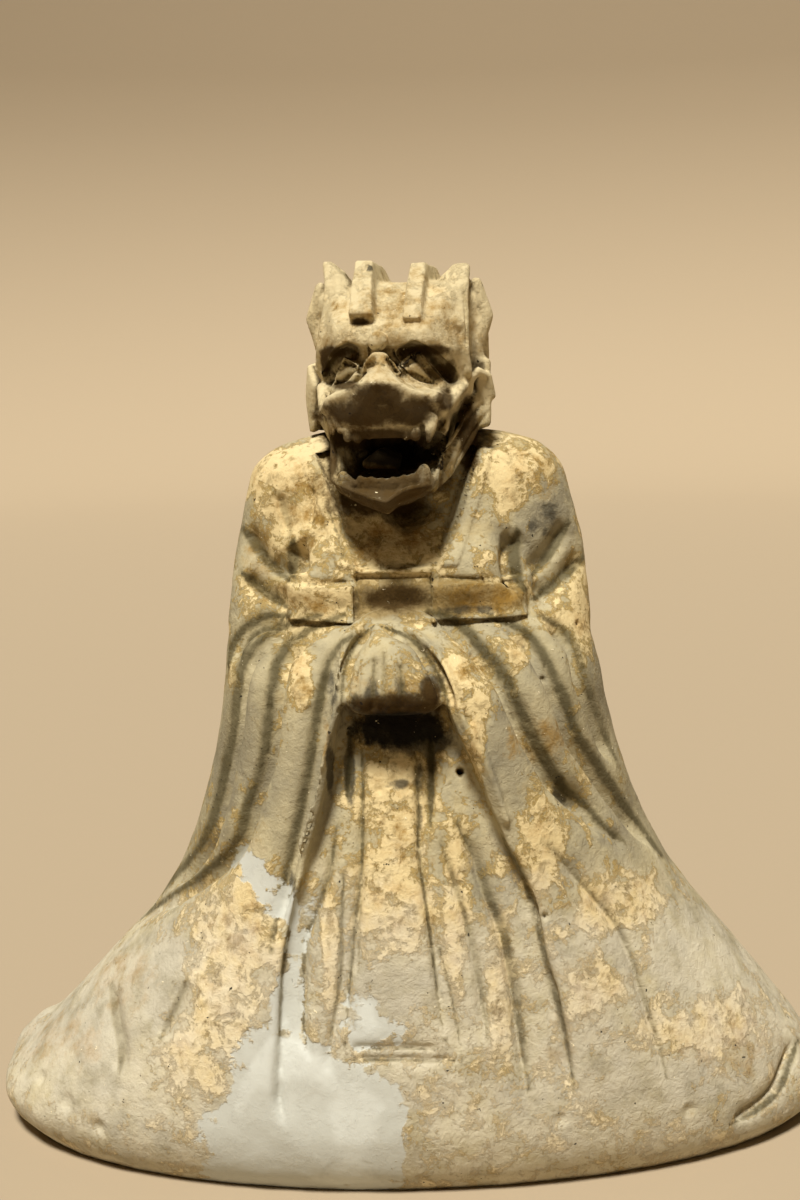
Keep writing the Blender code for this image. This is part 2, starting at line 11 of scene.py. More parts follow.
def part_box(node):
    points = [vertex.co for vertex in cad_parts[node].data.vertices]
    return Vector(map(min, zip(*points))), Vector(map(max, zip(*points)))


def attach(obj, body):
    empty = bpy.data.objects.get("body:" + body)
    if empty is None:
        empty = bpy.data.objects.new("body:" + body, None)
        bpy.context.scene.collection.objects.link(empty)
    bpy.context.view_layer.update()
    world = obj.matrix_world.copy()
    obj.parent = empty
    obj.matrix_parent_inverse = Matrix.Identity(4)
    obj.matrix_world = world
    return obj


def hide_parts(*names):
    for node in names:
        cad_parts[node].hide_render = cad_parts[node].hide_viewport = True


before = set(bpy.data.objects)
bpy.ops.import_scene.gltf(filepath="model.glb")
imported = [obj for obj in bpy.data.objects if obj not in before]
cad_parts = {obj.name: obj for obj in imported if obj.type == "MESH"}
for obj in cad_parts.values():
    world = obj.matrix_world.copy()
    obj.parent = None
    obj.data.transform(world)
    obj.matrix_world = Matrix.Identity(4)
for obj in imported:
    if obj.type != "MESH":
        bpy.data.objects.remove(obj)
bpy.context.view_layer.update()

# The solid's box gives the scale: the figure is counted in parts of its height.
solidLow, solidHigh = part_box("zodiac_figure")
figureSize = {
    "heightInParts": 268.5, "roughGrain": 2.0, "bodyGrain": 0.85, "lastGrain": 0.65, "headGrain": 0.45,
}
part = (solidHigh.z - solidLow.z) / figureSize["heightInParts"]

# Where the head sits over the body, and how it and its muzzle are turned to the figure's right.
headPose = {"place": (2.5, 0, 236.5), "turn": radians(-12.5), "muzzleTurn": radians(-10)}

# The photograph's frame in pixels, and where its camera stands.
photoFrame = {"width": 800, "height": 1200, "focalLength": 1500, "sensor": 36}
viewpoint = {"place": (1.2, -462, 237), "pitch": radians(8.87), "roll": radians(1.2)}
viewTurn = Matrix.Rotation(pi / 2 - viewpoint["pitch"], 3, "X") @ Matrix.Rotation(-viewpoint["roll"], 3, "Z")


# Places on the body and the head


def inBody(point):
    return Vector(point) * part


def turned(point, turn):
    return (Matrix.Rotation(turn, 3, "Z") @ Vector(point) + Vector(headPose["place"])) * part


def inHead(point):
    return turned(point, headPose["turn"])


def inMuzzle(point):
    return turned(point, headPose["muzzleTurn"])


# Building in clay: masses, rolls and balls


def unitBall():
    mesh = bmesh.new()
    bmesh.ops.create_icosphere(mesh, subdivisions=2, radius=1)
    points = [vert.co.copy() for vert in mesh.verts]
    mesh.free()
    return points


ballPoints = unitBall()


def addBall(mesh, centre, radii, turn, place):  # an oval ball, turned by three angles in degrees
    spin = Euler([radians(angle) for angle in turn]).to_matrix().to_4x4()
    if place is not inBody:
        spin = Matrix.Rotation(headPose["turn"], 4, "Z") @ spin
    shape = Matrix.Diagonal((*[radius * part for radius in radii], 1))
    matrix = Matrix.Translation(place(centre)) @ spin @ shape
    bmesh.ops.create_uvsphere(mesh, u_segments=32, v_segments=18, radius=1, matrix=matrix)


def addMass(mesh, balls, place):  # the hull of balls, each given as x, y, z and radius
    verts = []
    for x, y, z, radius in balls:
        centre = place((x, y, z))
        verts += [mesh.verts.new(centre + point * radius * part) for point in ballPoints]
    hull = bmesh.ops.convex_hull(mesh, input=verts, use_existing_faces=False)
    inner = set(hull["geom_interior"] + hull["geom_unused"])
    spare = [item for item in inner if isinstance(item, bmesh.types.BMVert)]
    bmesh.ops.delete(mesh, geom=spare, context="VERTS")


def addRoll(mesh, balls, place):  # a roll of clay that runs from each ball to the next
    for first, second in zip(balls, balls[1:]):
        addMass(mesh, [first, second], place)


def mirrored(balls, sign):
    return [(sign * x, y, z, radius) for x, y, z, radius in balls]


def linked(name, data):  # a new object in the scene
    obj = bpy.data.objects.new(name, data)
    bpy.context.collection.objects.link(obj)
    return obj


def newObject(name, *builders):
    mesh = bmesh.new()
    for build in builders:
        added = bmesh.new()
        build(added)
        data = bpy.data.meshes.new(name)
        added.to_mesh(data)
        added.free()
        mesh.from_mesh(data)
        bpy.data.meshes.remove(data)
    data = bpy.data.meshes.new(name)
    mesh.to_mesh(data)
    mesh.free()
    return linked(name, data)


def addTo(obj, *builders):
    added = newObject("added", *builders)
    mesh = bmesh.new()
    mesh.from_mesh(obj.data)
    mesh.from_mesh(added.data)
    mesh.to_mesh(obj.data)
    mesh.free()
    bpy.data.objects.remove(added, do_unlink=True)


def applyModifier(obj, kind, **settings):  # gives the object the mesh that one modifier makes of it
    modifier = obj.modifiers.new(kind.title(), kind)
    for name, value in settings.items():
        setattr(modifier, name, value)
    graph = bpy.context.evaluated_depsgraph_get()
    result = bpy.data.meshes.new_from_object(obj.evaluated_get(graph))
    obj.modifiers.clear()
    obj.data = result


def knead(obj, grain, passes):  # joins overlapping masses into one skin and softens it
    applyModifier(obj, "REMESH", mode="VOXEL", voxel_size=grain * part)
    if passes:
        applyModifier(obj, "SMOOTH", factor=0.5, iterations=passes)


def cutFrom(obj, grain, *builders):
    cutter = newObject("cutter", *builders)
    knead(cutter, grain, 0)
    applyModifier(obj, "BOOLEAN", operation="DIFFERENCE", solver="MANIFOLD", object=cutter)
    bpy.data.objects.remove(cutter, do_unlink=True)


# Shaping the surface by its points


def getPoints(obj):  # the object's points in parts, and their normals
    verts = obj.data.vertices
    points = np.empty(len(verts) * 3)
    normals = np.empty(len(verts) * 3)
    verts.foreach_get("co", points)
    verts.foreach_get("normal", normals)
    return points.reshape(-1, 3) / part, normals.reshape(-1, 3)


def setPoints(obj, points):
    obj.data.vertices.foreach_set("co", (points * part).ravel())
    obj.data.update()


def smoothStep(values):
    t = np.clip(values, 0, 1)
    return t * t * (3 - 2 * t)


def between(values, low, high, edge):  # one between the two limits, with a soft edge inside each
    return smoothStep((values - low) / edge) * smoothStep((high - values) / edge)


def curve(course, spacing):  # evenly spaced points on a smooth curve through a course
    ends = np.array(course, float)
    ends = np.vstack([2 * ends[0] - ends[1], ends, 2 * ends[-1] - ends[-2]])
    dense = []
    for i in range(1, len(ends) - 2):
        a, b, c, d = ends[i - 1 : i + 3]
        for t in np.linspace(0, 1, 24, endpoint=False):
            square = 2 * a - 5 * b + 4 * c - d
            cube = 3 * b - a - 3 * c + d
            dense.append(0.5 * (2 * b + (c - a) * t + square * t**2 + cube * t**3))
    dense = np.array(dense + [ends[-2]])
    length = np.concatenate([[0], np.cumsum(np.linalg.norm(np.diff(dense, axis=0), axis=1))])
    even = np.linspace(0, length[-1], int(length[-1] / spacing) + 2)
    return np.stack([np.interp(even, length, dense[:, k]) for k in range(2)], axis=1)


def surfaceTree(obj):
    verts = [vert.co for vert in obj.data.vertices]
    return BVHTree.FromPolygons(verts, [face.vertices for face in obj.data.polygons])


front = Vector((0, -1, 0))
back = Vector((0, 1, 0))
flanks = (Vector((1, 0, 0)), Vector((-1, 0, 0)))
foldStyle = {
    # Spacing of the points along a course, how they are smoothed, and how far a fold reaches.
    "pixelSpacing": 3.5, "smoothing": (1, 2, 3, 4, 3, 2, 1), "reach": 5, "margin": 4, "fade": 0.16,
    # The groove: how much deeper than stated, how flat its floor is, and its wide soft shoulders.
    "strength": 1.25, "bluntness": 2.6, "shoulder": 2.5, "shoulderShare": 0.38, "gentle": 1.7, "steep": 0.8,
    # The step across it, and how far a fold also lies on what faces up.
    "crispness": 2.6, "stepReach": 2.5, "upward": 0.7,
}


def layCourse(tree, course, side):  # on the front a course is in the photograph's pixels, elsewhere in parts
    spots = []
    if side == front:
        start = inBody(viewpoint["place"])
        for x, y in curve(course, foldStyle["pixelSpacing"]):
            across, up = x - photoFrame["width"] / 2, photoFrame["height"] / 2 - y
            hit = tree.ray_cast(start, viewTurn @ Vector((across, up, -photoFrame["focalLength"])))[0]
            if hit is not None:
                spots.append(np.array(hit) / part)
    else:
        level = Vector((abs(side.y), abs(side.x), 0))
        for across, z in curve(course, 1):
            start = inBody(level * across + side * figureSize["heightInParts"] + Vector((0, 0, z)))
            hit = tree.ray_cast(start, -side)[0]
            if hit is not None:
                spots.append(np.array(hit) / part)
    spots = np.array(spots)
    weights = np.array(foldStyle["smoothing"], float) / sum(foldStyle["smoothing"])
    reach = min(len(weights) // 2, (len(spots) - 1) // 2)
    weights = weights[len(weights) // 2 - reach : len(weights) // 2 + reach + 1]
    padded = np.pad(spots, ((reach, reach), (0, 0)), mode="reflect", reflect_type="odd")
    weights /= weights.sum()
    return np.stack([np.convolve(padded[:, k], weights, mode="valid") for k in range(3)], axis=1)


def lean(depth, step):  # the side on which a groove rises gently, when it is more a groove than a step
    return (step > 0) - (step < 0) if depth > 2 * abs(step) else 0


def carveFolds(obj, folds, side):  # each fold is a groove with a step across it
    points, normals = getPoints(obj)
    tree = surfaceTree(obj)
    lift = np.zeros(len(points))
    facing = smoothStep(normals @ np.array([side.x, side.y, foldStyle["upward"]]) * 2 + 0.2)
    share = foldStyle["shoulderShare"]
    for width, depth, step, course in folds:
        spots = layCourse(tree, course, side)
        reach = foldStyle["reach"] * width + foldStyle["margin"]
        near = np.all((points > spots.min(axis=0) - reach) & (points < spots.max(axis=0) + reach), axis=1)
        near = np.where(near)[0]
        gaps = np.linalg.norm(points[near][:, None, :] - spots[None, :, :], axis=2)
        index = gaps.argmin(axis=1)
        offset = points[near] - spots[index]
        along = np.gradient(spots, axis=0)
        along = (along / np.linalg.norm(along, axis=1)[:, None])[index]
        sideways = np.cross(np.array(side) + normals[near], along)
        sideways /= np.maximum(np.linalg.norm(sideways, axis=1), 1e-9)[:, None]
        s = (offset * sideways).sum(axis=1) / width
        beyond = np.maximum(np.abs((offset * along).sum(axis=1)) - 1, 0) / width
        fade = between(index / (len(spots) - 1), 0, 1, foldStyle["fade"]) * np.exp(-(beyond**2))
        fade *= smoothStep((reach - gaps.min(axis=1)) / width)
        if lean(depth, step):
            s /= np.where(s * lean(depth, step) > 0, foldStyle["gentle"], foldStyle["steep"])
        trough = (1 - share) * np.exp(-np.abs(s) ** foldStyle["bluntness"])
        trough += share * np.exp(-((s / foldStyle["shoulder"]) ** 2))
        terrace = 0.5 * step * np.tanh(foldStyle["crispness"] * s)
        terrace *= np.exp(-np.abs(s) / foldStyle["stepReach"])
        lift[near] += foldStyle["strength"] * (terrace - depth * trough) * fade * facing[near]
    setPoints(obj, points + normals * lift[:, None])


def pressPits(obj):
    points, normals = getPoints(obj)
    tree = surfaceTree(obj)
    for x, y, radius, depth in pits:
        spot = layCourse(tree, ((x - 1, y), (x + 1, y)), front).mean(axis=0)
        gap = np.linalg.norm(points - spot, axis=1) / radius
        points -= normals * (depth * np.exp(-(gap**3)))[:, None]
    setPoints(obj, points)


def addRim(obj, course, radii, proud):  # a roll of clay laid on the surface along a course in the photograph
    spots = layCourse(surfaceTree(obj), course, front)[::3]
    thickness = np.interp(np.linspace(0, 1, len(spots)), np.linspace(0, 1, len(radii)), radii)
    balls = [(x, y + radius - proud, z, radius) for (x, y, z), radius in zip(spots, thickness)]
    addTo(obj, lambda mesh: addRoll(mesh, balls, inBody))


# The body: a robe over knees, with chest, arms and back

robe = {
    # Height, right half, left half, front and back of the outline, from below the ground up.
    "levels": (
        (-5, 119, 124, 52, 68), (0, 122, 129, 57, 71), (6, 129, 136, 61.5, 74),
        (13, 131, 135.5, 63.5, 76), (20, 125.5, 131.5, 64.5, 76), (28, 117.5, 126.5, 64.5, 75),
        (36, 109.5, 120, 64.5, 73), (45, 101, 113, 64, 70.5), (55, 91.5, 105, 63, 67),
        (66, 81, 96, 62, 62), (80, 71.5, 85.5, 60.5, 56.5), (94, 65, 78, 59, 51),
        (107, 61, 72.5, 57.5, 46.5), (120, 57.5, 68.5, 56, 42.5), (133, 55, 65, 54.5, 39.5),
        (145, 53.5, 63, 52, 37.5), (153, 53, 61, 46, 36), (160, 50, 57, 39, 35),
        (165, 44, 50, 28, 33),
    ),
    "sides": 96,
    # Between the sleeve edges the skirt lies back: height, right edge, left edge and depth.
    "skirt": (
        (18, -34, 50, 0), (30, -35, 49, 1), (43, -35.5, 46, 1.8), (57, -34.9, 44, 2.6),
        (70, -33.8, 40, 3.4), (84, -30.7, 38, 4.6), (94, -28.5, 34, 6.2), (104, -26.2, 30, 8.2),
        (115, -22.8, 25.5, 10.4), (126, -20.3, 21.5, 12.4), (135, -18.5, 17, 14), (143, -16.5, 14, 15),
        (150, -13, 11, 9), (158, -8, 5, 0),
    ),
    "skirtEdge": 2, "skirtFront": -10,
    # How much blunter than an ellipse the outline is, and the height from which it is all of that.
    "bluntness": 0.15, "bluntFrom": 60,
}


def robeRing(level):  # an ellipse at the ground, blunter higher up
    z, right, left, fore, aft = level
    power = 2 / (2 + robe["bluntness"] * min(max(z / robe["bluntFrom"], 0), 1))
    ring = []
    for i in range(robe["sides"]):
        c = cos(2 * pi * i / robe["sides"])
        s = sin(2 * pi * i / robe["sides"])
        x = (left if c > 0 else -right) * abs(c) ** power
        y = (aft if s > 0 else -fore) * abs(s) ** power
        ring.append(inBody((x, y, z)))
    return ring


def buildRobe(mesh):
    verts = bmesh.ops.create_circle(mesh, segments=robe["sides"], radius=1, cap_ends=True)["verts"]
    edges = list({edge for vert in verts for edge in vert.link_edges})
    for vert, spot in zip(verts, robeRing(robe["levels"][0])):
        vert.co = spot
    for level in robe["levels"][1:]:
        grown = bmesh.ops.extrude_edge_only(mesh, edges=edges)["geom"]
        verts = [item for item in grown if isinstance(item, bmesh.types.BMVert)]
        edges = [item for item in grown if isinstance(item, bmesh.types.BMEdge)]
        for vert, spot in zip(verts, robeRing(level)):
            vert.co = spot
    mesh.faces.new(verts)
    bmesh.ops.recalc_face_normals(mesh, faces=mesh.faces)


def buildTrunk(mesh):
    # Chest.
    addMass(mesh, [(-17, -6, 172, 22), (23, -6, 172, 22), (-19, 8, 176, 22), (25, 8, 176, 22)], inBody)
    addMass(mesh, [(-18, 0, 172, 24), (24, 0, 172, 24), (-14, 1, 198, 17), (20, 1, 198, 17)], inBody)
    addMass(mesh, [(-20, 9, 192, 18), (26, 9, 192, 18), (-8, 4, 205, 14), (14, 4, 205, 14)], inBody)
    # Shoulders and upper arms, down to the elbows.
    addMass(mesh, [(-29, 6, 198, 17.5), (3, 6, 200, 18), (-20, 6, 207, 11)], inBody)
    addMass(mesh, [(37, 6, 198, 18), (3, 6, 200, 18), (27, 6, 207, 11)], inBody)
    addRoll(mesh, [(-30, 6, 196, 17), (-35, 4, 178, 16), (-37, -2, 160, 16), (-36, -10, 150, 15)], inBody)
    addRoll(mesh, [(38, 6, 196, 17.5), (43, 4, 178, 17), (45, -2, 160, 16), (44, -10, 150, 15)], inBody)
    # Back, sloping down into the robe.
    spine = [(-24, 12, 140, 22), (30, 12, 140, 22), (-20, 12, 190, 18), (26, 12, 190, 18), (0, 14, 196, 19)]
    addMass(mesh, spine, inBody)
    # Neck.
    addMass(mesh, [(1, 6, 205, 21), (2, 6, 218, 17)], inBody)
    # Knees under the hem.
    addMass(mesh, [(-104, 6, 12, 20), (-112, 10, 10, 20), (-60, -8, 18, 30)], inBody)
    addMass(mesh, [(106, 6, 12, 20), (114, 10, 10, 20), (60, -8, 18, 30)], inBody)


def pressSkirt(obj):  # the skirt between the sleeve edges lies back, deepest under the hands
    points = getPoints(obj)[0]
    x, y, z = points.T
    levels = np.array(robe["skirt"])
    right, left, depth = (np.interp(z, levels[:, 0], levels[:, k], 0, 0) for k in (1, 2, 3))
    push = depth * between(x, right, left, robe["skirtEdge"])
    points[:, 1] += np.where(y < robe["skirtFront"], push, 0)
    setPoints(obj, points)


def buildHands(mesh):  # clasped hands under the cloth, with a flat lower edge
    knuckles = [(-2.2, -42.5, 151.5, 11.2), (-8, -44, 151.5, 6.4), (-3.8, -38.5, 157.5, 6.4)]
    edge = [(-4.6, -36, 161.5, 3), (-9.5, -49, 145.5, 5.6), (7.6, -49, 145.3, 5.4), (-1, -50, 146.5, 6.8)]
    addMass(mesh, knuckles + edge + [(-9, -33, 145, 6), (6, -33, 145, 6)], inBody)


def buildGullet(mesh):  # the hollow of the neckline under the chin
    hollow = [(2, -24, 190, 4), (-5, -22, 195, 3), (15, -21, 196, 3.5), (4, -12, 194, 4)]
    addMass(mesh, hollow + [(2, -34, 194, 4), (14, -34, 200, 4)], inBody)


# The sash and the collars

dress = {
    "sashBottom": 163, "sashTop": 174.5, "sashRight": -33, "sashLeft": 39.5, "sashRise": 2.5,
    "sashMiddle": (-12.6, 10.6), "middleRise": 0.4, "blockEdge": 0.6, "endEdge": 1,
    "stripBottom": 176, "stripTop": 180, "stripRise": 1.1, "stripEdge": 0.9,
    "collarHeights": (178, 194, 216), "collarRight": (-12, -16.5, -26), "collarLeft": (13, 19.5, 27),
    "collarWidth": 5.5, "collarRise": 0.9, "collarEdge": 1, "collarStart": 1.5,
    "throatDepth": 1.5, "throatSlope": 0.12, "throatReach": 25, "throatEdge": 1.2, "front": -5,
}


def carveDress(obj):
    points, normals = getPoints(obj)
    x, y, z = points.T
    bottom, top = dress["sashBottom"], dress["sashTop"]
    middle = between(x, *dress["sashMiddle"], dress["blockEdge"])
    sash = between(z, bottom, top, dress["blockEdge"])
    sash *= between(x, dress["sashRight"], dress["sashLeft"], dress["endEdge"])
    lift = sash * (dress["sashRise"] * (1 - middle) + dress["middleRise"] * middle)
    strip = between(z, dress["stripBottom"], dress["stripTop"], dress["stripEdge"])
    lift += dress["stripRise"] * middle * strip
    heights, width = dress["collarHeights"], dress["collarWidth"]
    right = np.interp(z, heights, dress["collarRight"])
    left = np.interp(z, heights, dress["collarLeft"])
    above = smoothStep((z - heights[0]) / dress["collarStart"])
    lift += dress["collarRise"] * above * between(x, right - width, left + width, dress["collarEdge"])
    throat = dress["throatDepth"] + dress["throatSlope"] * np.clip(z - heights[0], 0, dress["throatReach"])
    lift -= throat * above * between(x, right, left, dress["throatEdge"])
    faced = (y < dress["front"]) & (z > bottom) & (z < heights[-1])
    points[:, 1] -= lift * faced * smoothStep(-3 * normals[:, 1])
    setPoints(obj, points)


# Folds of the cloth

# Width, depth and step of each fold in parts, how dark the painted shade and dirt along it is, and its
# course in the photograph's pixels. A step above zero lifts the cloth on the figure's left.
frontFolds = (
    # Creases round the hands, and the edges of the sleeves.
    (1.1, 2.6, 0, 0.9, ((374, 626), (364, 634), (353, 648), (345, 668), (342, 690), (341, 716))),
    (1.2, 3.2, 0, 1, (
        (382, 627), (398, 632), (416, 643), (431, 662), (441, 682), (447, 700), (450, 720),
    )),
    (1.8, 3.4, -0.8, 0.9, (
        (352, 636), (338, 648), (329, 664), (324, 684), (320, 706), (316, 732), (305, 794), (292, 850),
        (280, 905), (272, 950),
    )),
    (1.5, 2.2, -2.4, 0.7, (
        (302, 880), (295, 908), (288, 938), (284, 974), (282, 1028), (277, 1078), (277, 1108), (287, 1132),
    )),
    (1.2, 1.8, 1.6, 0.8, (
        (338, 820), (329, 875), (315, 916), (306, 938), (303, 985), (304, 1028), (311, 1067),
    )),
    (0.9, 1.2, 0, 0.7, ((344, 861), (342, 920), (341, 974), (332, 1028), (326, 1078))),
    (0.8, 1, 0, 0.6, ((362, 853), (360, 920), (358, 985))),
    (1.5, 2.2, 2.4, 0.8, (
        (503, 838), (510, 853), (522, 874), (535, 914), (545, 958), (558, 1004), (568, 1050), (576, 1100),
    )),
    # Cloth over the left forearm.
    (2.2, 6.2, 1.4, 1, (
        (428, 613), (445, 618), (465, 631), (485, 655), (503, 677), (517, 707), (534, 743), (559, 784),
        (587, 809), (613, 837),
    )),
    (2, 5.4, 1.2, 1, (
        (490, 619), (510, 625), (529, 638), (546, 664), (562, 697), (577, 738), (598, 768), (618, 799),
        (640, 828), (660, 855),
    )),
    (1.7, 4, 1.2, 0.8, ((540, 617), (558, 627), (575, 648), (585, 684), (603, 733), (618, 766))),
    # Cloth over the right forearm.
    (2, 5.4, -1.4, 0.9, (
        (345, 616), (325, 624), (298, 638), (282, 656), (274, 684), (270, 715), (265, 758), (251, 801),
        (235, 847), (203, 875), (164, 902), (137, 921),
    )),
    (1.8, 4.8, -1.2, 0.9, (
        (320, 616), (299, 622), (268, 636), (247, 658), (239, 689), (235, 728), (228, 763), (220, 799),
        (205, 840), (175, 878), (143, 913),
    )),
    (1.5, 4, -1.6, 1, ((290, 617), (270, 617), (252, 624), (236, 641), (229, 666))),
    (1, 1.8, -0.8, 0.9, ((288, 622), (268, 628), (252, 640), (243, 658), (240, 674))),
    # Skirt.
    (1.7, 2.6, 1.2, 0.75, (
        (454, 820), (474, 856), (487, 894), (502, 932), (512, 978), (520, 1032), (530, 1100),
    )),
    (1.1, 1.5, 0.7, 0.6, ((438, 835), (466, 922), (478, 978), (489, 1050))),
    (1.1, 1.5, 0.7, 0.6, (
        (545, 842), (558, 856), (584, 886), (612, 919), (630, 953), (642, 993), (658, 1044), (669, 1090),
    )),
    (1.3, 1.3, 0.6, 0.6, ((591, 820), (610, 832), (627, 845))),
    # Panel that hangs in the middle, its pleats and its border.
    (1, 1.6, 1.6, 0.8, ((357, 732), (362, 760), (362, 858), (356, 920), (348, 1000), (345, 1048))),
    (1, 1.6, -1.6, 0.8, (
        (414, 732), (418, 800), (419, 855), (426, 905), (432, 948), (441, 1019), (446, 1044),
    )),
    (1.1, 1.8, 0.6, 1, ((349, 722), (348, 760), (346, 800))),
    (1.2, 2.2, -0.6, 1, ((430, 722), (432, 770), (431, 830))),
    (0.8, 1, 0, 0.6, ((438, 942), (452, 1000), (459, 1039), (462, 1060))),
    (0.8, 1.2, 0, 0.8, ((345, 1048), (400, 1048), (444, 1049))),
    (0.8, 1.2, 0, 0.8, ((345, 1060), (400, 1060), (461, 1061))),
    # Creases at the knees, and the hem that comes out under the left one.
    (1.6, 1.7, 0.8, 0.6, ((111, 982), (115, 1017), (121, 1048), (118, 1075))),
    (1.3, 1.5, 0.7, 0.6, ((186, 979), (175, 1006), (160, 1039))),
    (1.6, 2.6, 2, 1, ((797, 1040), (790, 1062), (778, 1090), (757, 1110), (730, 1125))),
    # Sleeves under the shoulders, and the hollow beside each arm.
    (2, 2.8, 1.2, 0.9, ((243, 529), (268, 563), (288, 580))),
    (2, 2.8, 1.2, 0.9, ((242, 575), (268, 594), (285, 607))),
    (1.4, 1.3, 0.6, 0.5, ((278, 493), (290, 531))),
    (2.1, 3.2, -1.2, 0.9, ((584, 556), (564, 577), (535, 599))),
    (1.9, 3, -1.2, 0.9, ((569, 522), (552, 551), (533, 575))),
    (3, 5.6, 0, 1, ((293, 541), (294, 558), (293, 575))),
    (3, 5.6, 0, 1, ((518, 529), (514, 550), (516, 572), (525, 590))),
    # Flutes of the cloth over the hands.
    (0.7, 1, 0, 0.6, ((359, 662), (356, 690), (356, 715))),
    (1, 1.5, 0, 0.7, ((374, 655), (373, 685), (372, 716))),
    (0.9, 1.2, 0, 0.6, ((384, 648), (384, 685), (383, 717))),
    (1, 1.4, 0, 0.7, ((400, 660), (402, 690), (403, 716))),
)

# Edges of the sash blocks, of the strip over them and of the collars, carved last.
dressLines = (
    (0.6, 0.9, 0, 0.8, ((289, 586), (322, 583), (356, 581))),
    (0.6, 0.9, 0, 0.8, ((430, 577), (478, 579), (527, 584))),
    (0.6, 0.9, 0, 0.9, ((356, 572), (356, 596), (357, 622))),
    (0.6, 0.9, 0, 0.9, ((431, 572), (431, 594), (431, 617))),
    (0.6, 0.9, 0, 0.8, ((350, 577), (392, 577), (434, 575))),
    (0.6, 0.9, 0, 0.7, ((350, 566), (392, 566), (436, 563))),
    (0.7, 1, 0, 0.8, ((322, 489), (330, 514), (340, 542), (347, 568))),
    (0.7, 1, 0, 0.9, ((478, 450), (460, 512), (442, 558))),
    (0.6, 0.7, 0, 0.7, ((465, 468), (450, 514), (438, 555))),
    (0.7, 0.8, 0, 0.6, ((318, 470), (312, 500), (309, 530))),
)

# Lines of the head: both edges of the strap and its grain, creases at the nose and the temple.
headFolds = (
    (0.9, 1.6, 0, 1, ((476, 392), (462, 412), (446, 440), (434, 474))),
    (0.55, 0.8, 0, 0.8, ((486, 399), (471, 419), (458, 439), (447, 463), (441, 481))),
    (0.5, 0.6, 0, 0.6, ((492, 405), (478, 426), (465, 446), (454, 469), (447, 483))),
    (1.2, 2.4, 0, 1, ((500, 412), (487, 432), (475, 452), (462, 476))),
    (0.7, 1.1, 0, 1, ((358, 376), (361, 366), (367, 358))),
    (0.7, 1.1, 0, 1, ((387, 356), (392, 364), (397, 376))),
    (0.6, 0.8, 0, 0.9, ((364, 367), (376, 363), (388, 367))),
    (0.7, 0.8, 0, 0.4, ((463, 285), (466, 305), (468, 330), (466, 350))),
    # Lines between lid and eye, and above the lids.
    (0.55, 1.5, 0, 1, ((330, 383), (337, 371), (345, 362), (351, 365), (357, 369))),
    (0.55, 1.3, 0, 1, ((331, 383), (341, 383), (349, 376), (357, 369))),
    (0.55, 1.5, 0, 1, ((397, 366), (407, 361), (416, 357), (424, 366), (433, 376), (440, 385))),
    (0.55, 1.3, 0, 1, ((398, 368), (408, 374), (418, 377), (430, 382), (440, 385))),
    (1.2, 1.7, 0, 1, ((326, 379), (330, 366), (339, 354), (350, 350), (360, 356))),
    (1.2, 1.7, 0, 1, ((395, 358), (404, 352), (417, 348), (430, 357), (442, 370), (452, 382))),
)


def shapes(folds):  # the folds without their painted shade and dirt
    return [(width, depth, step, course) for width, depth, step, shadeAndDirt, course in folds]


# Rolled edges of the two sleeves, which cross over the hands.
rims = {
    "right": (
        (436, 619), (415, 617), (398, 616), (379, 619), (362, 629), (349, 644), (341, 662), (336, 685),
        (332, 710), (326, 740), (318, 777), (308, 815), (297, 860),
    ),
    "rightRadii": (1.2, 2.4, 2.9, 3.1, 3, 2.6, 2, 1.7, 1.6, 1.5, 1.4, 1.2, 1),
    "left": (
        (388, 624), (404, 628), (422, 640), (438, 659), (449, 679), (458, 701), (470, 730), (488, 766),
        (507, 820),
    ),
    "leftRadii": (1, 1.7, 2, 1.9, 1.7, 1.5, 1.3, 1.2, 1), "proud": 2.3,
}

# Small pits in the clay: place in the photograph's pixels, radius and depth in parts.
pits = (
    (461, 772, 1.1, 4), (545, 917, 1, 1.6), (578, 623, 0.8, 1.4), (542, 679, 0.8, 1.2),
    (300, 689, 2.2, -1.1), (306, 703, 1.6, -0.9), (378, 790, 1.2, 0.8), (392, 783, 1.6, 0.7),
    (410, 788, 1.4, 0.7), (66, 1102, 2.6, 1.2), (40, 1078, 2.2, 1), (98, 1128, 2.4, 1.2),
    (745, 1010, 1.6, 0.9), (560, 1120, 1.8, 0.9), (690, 1110, 2, 1),
)

# Folds of the robe and locks of the mane on the back, plainer.
backFolds = (
    (3, 2.2, 0, ((-2, 150), (-4, 110), (-8, 60), (-10, 20))),
    (3, 2.2, 1, ((-18, 158), (-26, 115), (-42, 65), (-58, 22))),
    (3, 2.2, -1, ((22, 158), (30, 115), (44, 65), (60, 22))),
    (3, 2, 1, ((-34, 160), (-46, 115), (-72, 62), (-98, 28))),
    (3, 2, -1, ((40, 160), (54, 115), (78, 62), (102, 28))),
)

# Folds on each side, as y and z.
sideFolds = ((2.8, 2.0, 0.8, ((6, 156), (10, 120), (18, 70), (26, 24))),)

